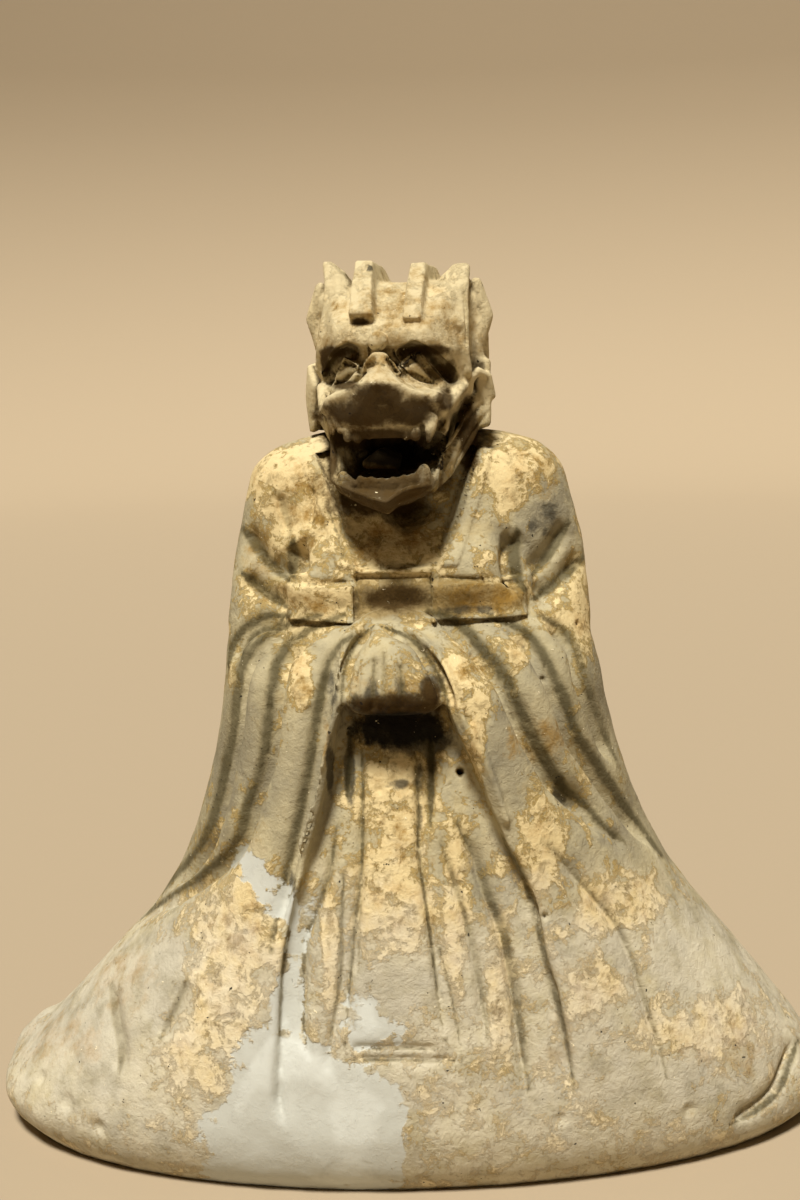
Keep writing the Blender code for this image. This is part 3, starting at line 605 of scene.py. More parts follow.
# Locks of the mane: on the back as x and z, at the sides as y and z.
maneBack = (
    (1.6, 2, 0.8, ((-19, 247), (-18, 232), (-14, 214), (-11, 204))),
    (1.6, 2, 0.8, ((-13, 251), (-12, 235), (-9, 216), (-7, 204))),
    (1.6, 2, 0.8, ((-7, 253), (-6, 235), (-5, 216), (-4, 203))),
    (1.6, 2, 0, ((0, 253), (0, 235), (0, 216), (0, 203))),
    (1.6, 2, -0.8, ((8, 252), (8, 235), (7, 216), (5, 203))),
    (1.6, 2, -0.8, ((14, 250), (13, 235), (10, 216), (9, 204))),
    (1.6, 2, -0.8, ((20, 246), (19, 231), (16, 215), (13, 205))),
)
maneSide = (
    (1.4, 1.6, 0, ((10, 258), (15, 246), (19, 230), (20, 214))),
    (1.4, 1.6, 0, ((6, 252), (10, 240), (15, 226), (17, 210))),
    (1.4, 1.6, 0, ((5, 244), (7, 234), (11, 221), (13, 208))),
)


# The head: skull, horns and crest


def buildSkull(mesh):  # a steep brow under a flat crown, with the mane behind the temples
    crown = [(-16, -7, 19, 6), (16, -7, 19, 6), (-13, 14, 18, 8), (13, 14, 18, 8), (0, 20, 15, 9)]
    brow = [(-11, -20.8, 8.4, 5), (11, -20.8, 8.4, 5), (-16.5, -15, 5, 4.5), (16.5, -15, 5, 4.5)]
    cheeks = [(-15, 18, -12, 9), (15, 18, -12, 9), (-16, -8, -8, 6), (16, -8, -8, 6)]
    addMass(mesh, crown + brow + cheeks, inHead)
    temple = [(20, 1, 19, 5), (21.5, 4, 10, 5.5), (20.5, 3, 0, 5), (21.5, 4, -10, 5.5)]
    behind = [(17, 13, 14, 7), (18, 15, -6, 8), (9, 23, 11, 8), (9, 25, -5, 8), (11, 17, -26, 8)]
    edge = [(24, 0, 24.5, 1.8), (27, 0, 15, 2.2), (24.2, -1, 5.5, 2), (25.8, 1, -8, 2.2)]
    for sign in (-1, 1):
        addMass(mesh, mirrored(temple + behind, sign), inHead)
        addRoll(mesh, mirrored(edge, sign), inHead)
    addMass(mesh, [(-9, 22, -6, 9), (9, 22, -6, 9), (-9, 17, -36, 8), (9, 17, -36, 8)], inHead)


horns = {
    # Middle of the top face from the cut end on the brow back over the crown: x, y, z, half width.
    "right": (
        (-5.9, -24.8, 15.8, 3.2), (-7.2, -17.5, 23, 2.8), (-8.8, -6.5, 31.4, 2.3), (-8.8, 8, 30.5, 2.3),
        (-8.3, 20, 23, 2.3),
    ),
    "left": (
        (9, -24, 14.2, 2.4), (8.5, -17, 22.2, 2.2), (7.7, -6.5, 30.2, 2), (8.2, 8, 29.6, 2.1),
        (8.3, 20, 23, 2.3),
    ),
    "depth": 6, "edge": 0.35, "flank": 1.8,
}


def buildHorn(mesh, course):  # a bar with a square cut end and a flank that spreads at its foot
    depth, edge, flank = horns["depth"], horns["edge"], horns["flank"]
    for ends in zip(course, course[1:]):
        corners = []
        for x, y, z, half in ends:
            corners += [(x - half, y, z, edge), (x + half, y, z, edge)]
            corners.append((x - half, y + depth, z - depth, edge))
            corners.append((x + half + flank, y + depth, z - depth, edge))
        addMass(mesh, corners, inHead)


def buildHorns(mesh):
    for name in ("right", "left"):
        buildHorn(mesh, horns[name])


crests = {  # the edge of the crown on each side, from the back over its tip and down beside the eye
    "right": (
        (-15, 20, 17, 2.2), (-18.5, 10, 25, 1.8), (-21, -3, 31.4, 1.4), (-18.9, -9.5, 25, 1.5),
        (-18.7, -13.2, 17, 1.5), (-19.2, -15.4, 12.4, 1.6), (-20, -15.5, 7, 1.6), (-22, -12.5, 0, 1.4),
    ),
    "left": (
        (15, 20, 17, 2.2), (18, 10, 25, 2), (21.2, -2.5, 28.9, 1.5), (21.8, -9, 21, 1.5),
        (22.3, -12.3, 12, 1.5), (22.6, -12.5, 4, 1.4), (23.2, -11, -1.5, 1.3),
    ),
    "rightInner": (3.6, 3, -3), "leftInner": (-3, -0.8, -0.2),
}


def buildCrest(mesh):
    for name in ("right", "left"):
        course = crests[name]
        inX, inY, inZ = crests[name + "Inner"]
        for ends in zip(course, course[1:]):
            corners = list(ends)
            for x, y, z, radius in ends:
                share = min(max((z - 12) / 14, 0), 1)
                corners.append((x + inX * share, y + inY * share, z + inZ * share, radius * 0.9))
                corners.append((x * 0.88, y + 7, z - 7, radius))
            addMass(mesh, corners, inHead)
    fin = [(-20.4, -4.5, 30.6, 1), (-17, -8.2, 28.4, 1), (-14, -8, 25.2, 1.4), (-17, 4, 22, 4)]
    addMass(mesh, fin + [(-13, -17.4, 13.6, 1.8), (-18.2, -13.6, 12.4, 2)], inHead)
    ridge = [(17.6, -4, 28.2, 1), (14, -4.5, 25, 1.2), (14.5, -16.5, 13.6, 1.6), (20.5, -13, 12, 2)]
    addMass(mesh, ridge + [(18, 4, 22, 4)], inHead)


# Muzzle, jaw and ears


def buildMuzzle(mesh):  # its edge bends down to each side, under it the face looks down
    edge = [(0.4, -40, -4.4, 0.8), (5.9, -36.8, -5, 0.9), (10, -34.4, -7.6, 1.1)]
    cheek = [(15.2, -30.8, -9, 1.3), (17.8, -26.8, -12, 1.2)]
    lip = [(9.8, -32, -15.4, 1), (0.4, -33.8, -15.8, 1)]
    ridge = [(0, -35.8, -0.6, 1), (0.2, -38.2, -2.6, 0.9)]
    within = [(0, -33, -7, 2), (8, -28, -10, 2), (0, -15, -6, 6)]
    behindRidge = [(0, -30, 0, 2), (4.2, -29, -5.5, 1.6)]
    outer = edge[2:] + cheek + lip[:1] + [(14.8, -27.5, -14.6, 1.2), (13, -15, -10, 5)]
    behind = [(5, -27, -7, 2), (11, -25, -9, 2.4), (15.5, -20, -9.5, 2.5), (4, -14, -4, 4)]
    rolled = [(x, y - 0.5, z + 0.3, radius) for x, y, z, radius in edge + cheek]
    for sign in (-1, 1):
        addMass(mesh, mirrored(edge + lip + within, sign), inMuzzle)
        addMass(mesh, mirrored(edge[:2], sign) + ridge + mirrored(behindRidge, sign), inMuzzle)
        addMass(mesh, mirrored(outer, sign), inMuzzle)
        addMass(mesh, mirrored(behind, sign), inMuzzle)
        addRoll(mesh, mirrored(rolled, sign), inMuzzle)
    bridge = [(0, -29.5, 2.4, 1.6), (-3.2, -28, -1, 1.6), (3.2, -28, -1, 1.6), (0, -34, -4, 2)]
    addMass(mesh, ridge[:1] + bridge, inMuzzle)
    addBall(mesh, (15.2, -31, -8.9), (3, 2.2, 2.3), (0, 0, 0), inMuzzle)
    addBall(mesh, (-14.6, -30.2, -10), (2.8, 2, 2.1), (0, 0, 0), inMuzzle)


jaw = {
    # Inner and outer edge of the strap on the figure's left, from the ear down to the corner of the lip.
    "strap": (
        ((23.6, -3, -8.2, 1.1), (27.2, 0.5, -10.6, 1.1)),
        ((20.2, -11.5, -17.6, 1.1), (22.6, -6.5, -21.4, 1.1)),
        ((16, -22.5, -26, 1.1), (17.2, -18.5, -31, 1.2)),
        ((13.6, -28.5, -32.8, 1.1), (13.2, -25.5, -35.2, 1.2)),
    ),
    "rightNarrower": (0, 2.6, 1.4, 0),
}


def buildJaw(mesh):  # a floor with a wall on each side, hung from the ears by a strap
    floor = [(-11.8, -24, -34.8, 2.4), (11.5, -24, -34.4, 2.2), (-8.5, -32, -36, 1.6), (9, -32, -35.6, 1.6)]
    chin = [(0.8, -34, -37.6, 1.8), (-4, -22, -38, 3), (0, -12, -36, 4), (0, 0, -31, 8)]
    addMass(mesh, floor + chin, inMuzzle)
    wall = [(16.4, -23.8, -19.4, 0.8), (14.9, -29.6, -32.4, 0.9), (15, -22, -20.5, 0.8)]
    wall += [(13.8, -27, -32, 1), (15.5, -9, -13, 1.6), (12.5, -11, -30, 3)]
    cheek = [(18, -1, -9, 2), (11, -20, -31, 2), (12, -14, -12, 3), (8, 0, -30, 5), (16, -8, -4, 3)]
    for sign in (-1, 1):
        addMass(mesh, mirrored(wall, sign), inMuzzle)
        spans = []
        for narrower, pair in zip(jaw["rightNarrower"], jaw["strap"]):
            inward = 0 if sign > 0 else narrower
            spans.append([(sign * (x - inward), y, z, radius) for x, y, z, radius in pair])
        for first, second in zip(spans, spans[1:]):
            addMass(mesh, first + second, inMuzzle)
        addMass(mesh, mirrored(cheek, sign), inHead)


def buildEars(mesh):  # a curled ear on the left, and on the right a thin one seen from its edge
    leaf = [(25.4, -3, -3.6, 2.2), (26.6, -1.5, -11, 1.8), (25, 3, -6, 3)]
    flap = [(27.2, -2, 1, 1.4), (27, -2, -17, 1.4), (22, 8, 0, 4), (21, 8, -16, 4)]
    curl = [(22.6, -6.5, -7.4, 1.2), (23, -7.2, -4.2, 1.2), (25.2, -6.4, -1.4, 1.3)]
    curl += [(28, -3.8, -3, 1.2), (28.8, -1.8, -9, 1.1)]
    fold = [(21.6, -11, -5.6, 1.7), (19.6, -17.5, -9.2, 1.7), (18.2, -22.5, -12, 1.5)]
    for sign in (-1, 1):
        addMass(mesh, mirrored(leaf, sign), inHead)
        addMass(mesh, mirrored(flap, sign), inHead)
        addRoll(mesh, mirrored(fold, sign), inHead)
    addRoll(mesh, curl, inHead)
    thin = [(-27, -4.5, 0.6, 1), (-27.6, -4.5, -9, 1), (-26.6, -4.5, -18.2, 1)]
    addMass(mesh, thin + [(-24.6, -7.5, -5, 1.2), (-25, 2, 0, 1.6), (-24, 2, -16, 1.6)], inHead)


# What is cut from the head


def buildSockets(mesh):
    upper = [(5.8, -22.8, 4.4, 1.6), (9.8, -21.4, 5.8, 2), (14.2, -18.6, 3.4, 2), (18.8, -15, -1.6, 1.7)]
    lower = [(19.8, -13.6, -3.4, 1.4), (8.6, -21.6, -2.6, 2), (14.5, -18.4, -4.8, 1.6)]
    socket = upper + lower
    socket += [(x, y - 9, z, radius) for x, y, z, radius in socket]
    for sign in (-1, 1):
        addMass(mesh, mirrored(socket, sign), inHead)
    addBall(mesh, (26, -6.6, -5.4), (1.4, 2.2, 2.6), (0, 0, 0), inHead)


def buildMouth(mesh):
    left = [(15, -44, -20.8, 0.9), (14.6, -44, -28.4, 0.9), (16.4, -15, -19.8, 1.2), (13.6, -15, -26.4, 1.4)]
    right = [(-14.2, -46, -21, 0.9), (-12.4, -46, -30, 0.9), (-10.6, -20, -21, 2), (-9.4, -20, -28, 2)]
    floor = [(-8, -46, -30.6, 0.9), (9, -46, -30.4, 0.9), (-8, -14, -28, 2), (9, -14, -28, 2)]
    addMass(mesh, left + right + floor, inMuzzle)
    addBall(mesh, (-18.4, -26.4, -14.8), (1.7, 3, 2.2), (0, 0, 0), inMuzzle)
    addBall(mesh, (15.6, -33, -12.6), (1.7, 3, 1.6), (0, 0, 0), inMuzzle)


# What is set into it: eyes, bead, nose, teeth and tongue

eyes = {  # corners of each lid, from the inner one round over the top, and of the smaller plate within it
    "right": ((-6.8, -23, 0.6), (-11.8, -21.2, 3.2), (-16.8, -17.6, -6.2), (-12.8, -20.6, -5.8)),
    "left": ((5.2, -23.6, 1), (10.6, -22.2, 4), (17.8, -16.6, -5.5), (9.9, -21.8, -4.2)),
    "rightPlate": ((-8.4, -22.5, 0), (-11.5, -21.4, 1.2), (-14.8, -18.9, -4.6), (-12, -20.8, -4)),
    "leftPlate": ((7.3, -22.9, 0.2), (10.5, -22, 1.9), (15.3, -18.6, -4.2), (9.9, -21.8, -2.4)),
    "lidRadius": 0.62, "plateRadius": 0.7,
}


def buildEyes(mesh):
    for name in ("right", "left"):
        ring, plate = eyes[name], eyes[name + "Plate"]
        addMass(mesh, [(x, y + 1.7, z, 0.8) for x, y, z in ring], inHead)
        addMass(mesh, [(x, y + 0.6, z, eyes["plateRadius"]) for x, y, z in plate], inHead)
        addRoll(mesh, [(x, y, z, eyes["lidRadius"]) for x, y, z in ring + ring[:1]], inHead)
        pouch = [(x, y + 0.7, z - 0.8, 0.9) for x, y, z in (ring[0], ring[3], ring[2])]
        addMass(mesh, pouch + [(x, y + 2.5, z - 2.4, 1.2) for x, y, z, radius in pouch], inHead)


def buildNose(mesh):  # a bead between the brows over a wrinkled mound
    addBall(mesh, (-0.3, -27.2, 7.6), (2.9, 2.9, 2.9), (0, 0, 0), inHead)
    arch = [(-5.6, -26.4, -0.8, 0.8), (-4.4, -28.6, 1.8, 0.9), (-1.9, -30.4, 3.6, 1)]
    arch += [(0.8, -30.4, 3.4, 1), (2.8, -29.6, 1.4, 0.9), (4.6, -28.2, -1.4, 0.8)]
    addRoll(mesh, arch, inMuzzle)
    addMass(mesh, arch[1:-1] + [(-1, -25, 1, 2.4)], inMuzzle)


teeth = {
    "fang": ((14.2, -31, -14.6, 2), (14, -31.6, -17.4, 1.6), (13.5, -31.8, -20.8, 0.6)),
    "rightFangs": (
        ((-15.2, -28, -14.4, 1.7), (-15, -28.4, -18.4, 0.8)),
        ((-13.2, -29.6, -14.6, 1.6), (-12.4, -30.2, -17.4, 1.2)),
    ),
    "upperRow": (
        (-10.2, -29.6, -17.4, 1.3), (-6, -30.8, -17.4, 1.3), (0, -31.6, -17.2, 1.3), (9.6, -30, -17.2, 1.3),
    ),
    # Upper teeth: x, height of the tip and radius.
    "upper": (
        (-10.2, -19.6, 1.4), (-7.2, -19.9, 1.4), (-3.8, -19.2, 1.2), (2.6, -18.9, 1.2), (6.8, -19.3, 1.4),
        (9.6, -19.3, 1.5),
    ),
    "leftStump": ((12, -31.4, -28.8, 1.7), (12.4, -30.8, -33, 2.6), (10, -31.6, -31.6, 1.5)),
    "rightStump": ((-11.8, -30.4, -30.6, 1.5), (-9.4, -31.6, -33, 1.9), (-12.8, -29.2, -33, 1.6)),
    "lowerRow": (
        (-6.6, -31.6, -31.6, 0.9), (-3.4, -32.2, -31.9, 0.9), (0, -32.6, -32.4, 0.9),
        (3.2, -32.4, -32.1, 0.9), (6.2, -31.8, -31.6, 0.9), (8.6, -31.2, -31.2, 0.9),
    ),
    # Edge of the lower lip, with its point in front of the chin.
    "lip": (
        (-14.6, -29.6, -32.2, 0.7), (-11.6, -33, -33.4, 0.8), (-8.3, -35, -34.6, 0.6),
        (-3.6, -37, -36.2, 0.6), (2, -39, -37.6, 0.7), (5.2, -37.6, -35.4, 0.6), (8, -36, -34, 0.6),
        (12.6, -33.4, -33.4, 0.8), (15, -29.4, -31.6, 0.9),
    ),
    "shelf": (
        (-14, -28, -34, 0.9), (-8.6, -33.6, -35.8, 0.9), (1.8, -37.4, -38.6, 0.9), (11, -32.4, -35, 0.9),
        (14, -28, -33.4, 0.9), (-6, -26, -38, 2), (0.6, -29, -38.6, 2.2), (7, -26, -37, 2),
    ),
    "tongue": ((-2.2, -26.8, -24.4, 1), (-6, -24, -27.6, 1.5), (2.6, -24, -27.6, 1.5), (-1.5, -12, -27, 4)),
}


def shifted(balls, inward, down, radius):  # the balls moved inward and down, with another radius
    return [(x, y + inward, z - down, radius) for x, y, z, oldRadius in balls]


def buildUpperTeeth(mesh):
    for fang in (teeth["fang"], *teeth["rightFangs"]):
        addRoll(mesh, fang, inMuzzle)
    row = list(teeth["upperRow"])
    addMass(mesh, row + shifted(row, 0.6, 1.6, 1.1), inMuzzle)
    for x, z, radius in teeth["upper"]:
        addRoll(mesh, [(x, -30.8, -17, radius), (x, -31, z, radius)], inMuzzle)


def buildLowerTeeth(mesh):  # a blunt one on the left, a low broken row and a lump on the right
    addMass(mesh, teeth["leftStump"], inMuzzle)
    addMass(mesh, teeth["rightStump"], inMuzzle)
    row, lip = teeth["lowerRow"], teeth["lip"]
    for pair in zip(row, row[1:]):
        addMass(mesh, [*pair, *shifted(pair, 0.6, 4, 1.2)], inMuzzle)
    for x, y, z, radius in row:
        addRoll(mesh, [(x, y, z + 0.2, 1.1), (x, y, z - 1.8, 1.2)], inMuzzle)
    addRoll(mesh, lip, inMuzzle)
    for pair in zip(lip, lip[1:]):
        under = [(x * 0.8, y + 5, z - 2.6, 1.4) for x, y, z, radius in pair]
        addMass(mesh, [*pair, *under], inMuzzle)
    addMass(mesh, teeth["shelf"], inMuzzle)
    addMass(mesh, teeth["tongue"], inMuzzle)


def makeHead():
    grain = figureSize["headGrain"]
    head = newObject("head", buildSkull, buildMuzzle, buildJaw)
    knead(head, grain, 3)
    addTo(head, buildHorns, buildCrest, buildEars)
    knead(head, grain, 2)
    cutFrom(head, grain, buildSockets, buildMouth)
    addTo(head, buildEyes, buildNose, buildUpperTeeth, buildLowerTeeth)
    knead(head, grain, 1)
    carveFolds(head, shapes(headFolds), front)
    carveFolds(head, maneBack, back)
    for flank in flanks:
        carveFolds(head, maneSide, flank)
    return head


def makeBody():
    grain = figureSize["bodyGrain"]
    body = newObject("body", buildRobe, buildTrunk)
    knead(body, figureSize["roughGrain"], 8)
    knead(body, grain, 0)
    pressSkirt(body)
    addTo(body, buildHands)
    knead(body, grain, 3)
    cutFrom(body, grain / 2, buildGullet)
    for name in ("right", "left"):
        addRim(body, rims[name], rims[name + "Radii"], rims["proud"])
    knead(body, grain * 0.9, 1)
    carveFolds(body, shapes(frontFolds), front)
    carveFolds(body, backFolds, back)
    for flank in flanks:
        carveFolds(body, sideFolds, flank)
    knead(body, figureSize["lastGrain"], 2)
    carveDress(body)
    carveFolds(body, shapes(dressLines), front)
    pressPits(body)
    return body


finish = {"triangles": 196000, "unevenness": 0.6, "unevenScale": 10}


def joinHead(body, head):
    applyModifier(body, "BOOLEAN", operation="UNION", solver="MANIFOLD", object=head)
    bpy.data.objects.remove(head, do_unlink=True)


def handWork(obj):  # the slight unevenness that hands leave in clay
    texture = bpy.data.textures.new("handWork", "CLOUDS")
    texture.noise_scale = finish["unevenScale"] * part
    applyModifier(obj, "DISPLACE", texture=texture, texture_coords="LOCAL", mid_level=0.5,
                  strength=finish["unevenness"] * part)


def cutFoot(obj):  # a flat foot at the ground, and the figure's middle over the solid's
    mesh = bmesh.new()
    mesh.from_mesh(obj.data)
    everything = mesh.verts[:] + mesh.edges[:] + mesh.faces[:]
    cut = bmesh.ops.bisect_plane(
        mesh, geom=everything, dist=1e-7, plane_co=(0, 0, 0), plane_no=(0, 0, -1), clear_outer=True
    )
    rim = [item for item in cut["geom_cut"] if isinstance(item, bmesh.types.BMEdge)]
    bmesh.ops.holes_fill(mesh, edges=rim, sides=0)
    bmesh.ops.triangulate(mesh, faces=mesh.faces[:])
    bmesh.ops.recalc_face_normals(mesh, faces=mesh.faces)
    xs = [vert.co.x for vert in mesh.verts]
    ys = [vert.co.y for vert in mesh.verts]
    middle = Vector((min(xs) + max(xs), min(ys) + max(ys), 0)) / 2
    solidMiddle = (solidLow + solidHigh) / 2
    shift = Vector((solidMiddle.x, solidMiddle.y, solidLow.z)) - middle
    bmesh.ops.translate(mesh, verts=mesh.verts, vec=shift)
    for vert in mesh.verts:
        vert.co = [min(max(value, low), high) for value, low, high in zip(vert.co, solidLow, solidHigh)]
    mesh.to_mesh(obj.data)
    mesh.free()
    obj.data.shade_smooth()
    return shift


figure = makeBody()
print("body modelled:", len(figure.data.vertices), "points")
head = makeHead()
print("head modelled:", len(head.data.vertices), "points")
joinHead(figure, head)
handWork(figure)
applyModifier(figure, "DECIMATE", ratio=finish["triangles"] / (2 * len(figure.data.vertices)))
figureShift = cutFoot(figure)
figure.name = "figure_clay"
print("figure joined:", len(figure.data.polygons), "triangles, shift", figureShift)


# The camera stands where the photograph was taken from


def placeCamera(shift):
    data = bpy.data.cameras.new("photoCamera")
    data.sensor_width = photoFrame["sensor"]
    data.lens = photoFrame["focalLength"] / photoFrame["height"] * photoFrame["sensor"]
    data.clip_start = 0.01
    camera = linked("photoCamera", data)
    camera.matrix_world = Matrix.Translation(inBody(viewpoint["place"]) + shift) @ viewTurn.to_4x4()
    bpy.context.scene.camera = camera
    return camera


camera = placeCamera(figureShift)


# Low-fired grey clay under a thin ochre and cream slip, buried, stained with soot and earth, and mended
# with pale plaster. The slip has flaked off in sharp-edged islands; earth and painted shade darken the folds
# and hollows.
clayFinish = {
    "clay": ("908870", "b8ad8b"), "roughness": (0.74, 0.22), "plasterGloss": 0.12, "specular": 0.2,
    # Slip on hidden sides, more of it on the front, and the weight of its patches there.
    "slipShares": (0.45, 0.05, 0.6),
    # The lower part is paler, from this row of the photograph's pixels on and over so many.
    "paleFrom": 790, "paleOver": 180,
    # Each pattern's feature size in millimetres, detail, roughness, distortion and its shift in metres.
    # The finest grain of the clay is drawn coarser than it is, so that it shows.
    "patterns": {
        "broad": (26, 6, 0.6, 0.0, 0.0), "slip": (7, 10, 0.74, 0.3, 0.3), "tone": (6, 8, 0.68, 0.0, 0.7),
        "haze": (9, 5, 0.6, 0.0, 1.1), "sootAndShade": (13, 8, 0.64, 0.2, 0.9), "earthAndShade": (4, 7, 0.65, 0.0, 1.5),
        "plaster": (6, 6, 0.6, 0.0, 2.1), "plasterTone": (30, 4, 0.5, 0.0, 2.7),
        "fleck": (2.6, 3, 0.7, 0.0, 3.3), "pinhole": (2.2, 2, 0.6, 0.0, 3.9),
        "grain": (0.8, 4, 0.6, 0.0, 5.0), "crust": (3.2, 8, 0.65, 0.4, 5.9),
    },
    # Relief of the grain and the crust in millimetres.
    "grainDepth": 0.2, "crustDepth": 0.8, "bumpStrength": 0.9,
    # From the bottom layer up: the mask, the pattern and its weight on it, where the layer begins and is
    # full, how much it covers, its colour, its thickness in millimetres and how much it smooths.
    "layers": (
        ("slip", "tone", 3.0, 0.10, 0.90, 0.50, "c2b792", 0.0, 0.0),
        ("slip", "haze", 2.4, 0.50, 1.20, 0.50, "b09a60", 0.0, 0.0),
        ("slip", "slip", 4.0, 0.56, 0.66, 0.80, "ae9355", 0.15, 0.0),
        ("slip", "slip", 4.0, 0.74, 0.90, 0.95, "dac695", 0.15, 0.0),
        ("slip", "tone", 4.0, 0.85, 1.90, 0.55, "b9955a", 0.0, 0.0),
        ("dust", "haze", 0.6, 0.10, 0.60, 0.85, "d3c39a", 0.05, 0.0),
        ("dust", "earthAndShade", 2.0, 1.10, 1.90, 0.60, "9b8048", 0.0, 0.0),
        ("belt", "tone", 2.4, 0.10, 0.90, 0.80, "8d7748", 0.05, 0.0),
        ("ochre", "tone", 3.0, 0.60, 1.50, 0.75, "8e6a1e", 0.0, 0.0),
        ("pale", "haze", 2.4, 0.20, 1.40, 0.55, "d9d3c0", 0.0, 0.0),
        ("slip", "crust", 4.0, 1.00, 1.80, 0.50, "624a18", 0.0, 0.0),
        # Soot stains, with painted shade under the hands, in the pleats below them and under the sash.
        ("sootAndShade", "sootAndShade", 2.8, 0.65, 1.10, 0.85, "3f3b30", 0.0, 0.0),
        # Painted shade and dirt along the folds: a soft shaded band on the gentle side and a dark groove.
        ("fold", "haze", 0.8, 0.02, 0.55, 0.40, "72653e", 0.0, 0.0),
        ("fold", "tone", 1.2, 0.34, 1.00, 0.74, "40391f", 0.05, 0.0),
        # Earth, with painted shade in the eye sockets, under the muzzle, under the hands and in the middle of
        # the sash.
        ("earthAndShade", "tone", 1.5, 0.22, 0.85, 0.94, "3f2c08", 0.1, 0.0),
        # Painted shade, with some earth: the more sheltered a point, the darker, near-black in the deepest
        # hollows.
        ("hollow", "earthAndShade", 1.0, 0.32, 0.78, 0.80, "48340c", 0.1, 0.0),
        ("hollow", "earthAndShade", 0.6, 0.72, 0.95, 0.90, "201608", 0.0, 0.0),
        ("plaster", "plaster", 1.8, 0.48, 0.62, 0.95, "c2c4bb", 0.3, 0.85),
        ("plaster", "plasterTone", 2.0, 0.95, 1.15, 0.7, "d5d8d0", 0.0, 0.0),
        # Near-black painted shade under the hands and the chin, with grime.
        ("grimeAndShade", "earthAndShade", 1.2, 0.40, 0.85, 0.95, "130f09", 0.0, 0.0),
    ),
    # Specks over everything but the plaster: pattern, start, end, cover, colour and thickness.
    "specks": (("fleck", 0.70, 0.73, 0.9, "f3e7c2", 0.15), ("pinhole", 0.735, 0.75, 0.9, "1d1710", -0.4)),
}


# Where the finish lies on the figure, in the photograph's pixels: x, y, half width and half height.
patches = {
    # Painted shade under the hands and the chin, with grime.
    "grimeAndShade": ((400, 730, 58, 20), (400, 718, 44, 7), (400, 455, 44, 14)),
    "slip": (
        (398, 800, 30, 62), (396, 900, 34, 70), (300, 300, 14, 30), (440, 270, 16, 24), (300, 500, 40, 60),
        (390, 545, 50, 34), (270, 470, 30, 26), (320, 600, 34, 18), (480, 596, 44, 14), (515, 475, 34, 40),
        (300, 680, 10, 40), (455, 680, 14, 40), (478, 720, 12, 50), (520, 650, 12, 20), (240, 930, 44, 50),
        (215, 1000, 40, 50), (185, 1060, 30, 30), (597, 985, 28, 30), (600, 905, 24, 26),
        (540, 850, 16, 50), (456, 900, 12, 80), (500, 1000, 12, 70), (280, 590, 16, 12), (580, 610, 10, 40),
        (720, 1020, 30, 30), (560, 620, 24, 14), (300, 625, 24, 12), (670, 1040, 40, 24), (420, 800, 8, 60),
        (330, 940, 8, 60), (640, 900, 20, 30),
    ),
    "bare": (
        (545, 700, 22, 60), (300, 790, 24, 60), (255, 720, 16, 70), (90, 1050, 60, 60), (640, 830, 26, 40),
        (395, 980, 30, 30), (545, 525, 22, 36), (620, 950, 18, 20), (330, 700, 12, 50), (650, 1080, 50, 30),
        (150, 980, 40, 40), (700, 950, 40, 40), (505, 770, 16, 60), (225, 760, 10, 60), (600, 740, 14, 60),
    ),
    "dust": ((390, 330, 130, 120), (330, 330, 40, 90), (460, 330, 40, 90)),
    "ochre": (
        (310, 505, 30, 44), (485, 597, 60, 22), (470, 668, 18, 34), (400, 335, 90, 80), (400, 690, 60, 24),
        (730, 1040, 60, 50), (60, 1040, 60, 40), (120, 980, 40, 50), (540, 740, 40, 30), (258, 560, 20, 50),
        (320, 602, 34, 14), (300, 690, 14, 16), (326, 740, 6, 40), (320, 340, 10, 40), (478, 330, 10, 40),
        (470, 440, 14, 40), (545, 470, 20, 30), (398, 830, 12, 40), (240, 930, 30, 26), (590, 1000, 16, 30),
        (390, 545, 46, 26), (395, 470, 70, 50), (350, 430, 40, 30), (560, 1040, 20, 40),
    ),
    # Soot stains, and painted shade under the hands, in the pleats below them and under the sash.
    "sootAndShade": (
        (327, 690, 12, 36), (372, 695, 12, 24), (396, 696, 16, 24), (432, 690, 14, 20), (400, 712, 56, 10),
        (400, 738, 60, 22), (545, 520, 18, 30), (330, 760, 5, 40), (270, 720, 5, 50), (292, 900, 6, 40),
        (420, 790, 6, 40), (396, 785, 16, 8), (350, 770, 7, 44), (431, 775, 8, 50), (360, 321, 10, 5),
        (368, 268, 6, 4), (520, 640, 12, 20), (480, 610, 40, 8), (240, 650, 8, 20), (560, 790, 10, 20),
        (392, 706, 50, 16),
    ),
    # Earth on the lower face, with painted shade in the eye sockets, under the muzzle, under the hands and in
    # the middle of the sash.
    "earthAndShade": (
        (377, 396, 30, 14), (362, 414, 44, 16), (410, 412, 30, 16), (372, 504, 50, 14), (470, 440, 10, 40),
        (332, 460, 6, 26), (385, 486, 60, 28), (385, 440, 60, 14), (334, 352, 16, 6), (325, 364, 5, 12),
        (428, 350, 24, 6), (450, 372, 7, 14), (466, 420, 8, 30), (385, 485, 30, 10), (395, 598, 34, 16),
        (440, 372, 14, 8), (400, 722, 46, 8), (345, 385, 14, 6), (445, 400, 10, 12), (360, 322, 8, 5),
        (392, 706, 48, 12), (430, 694, 10, 18), (385, 505, 50, 12),
    ),
}

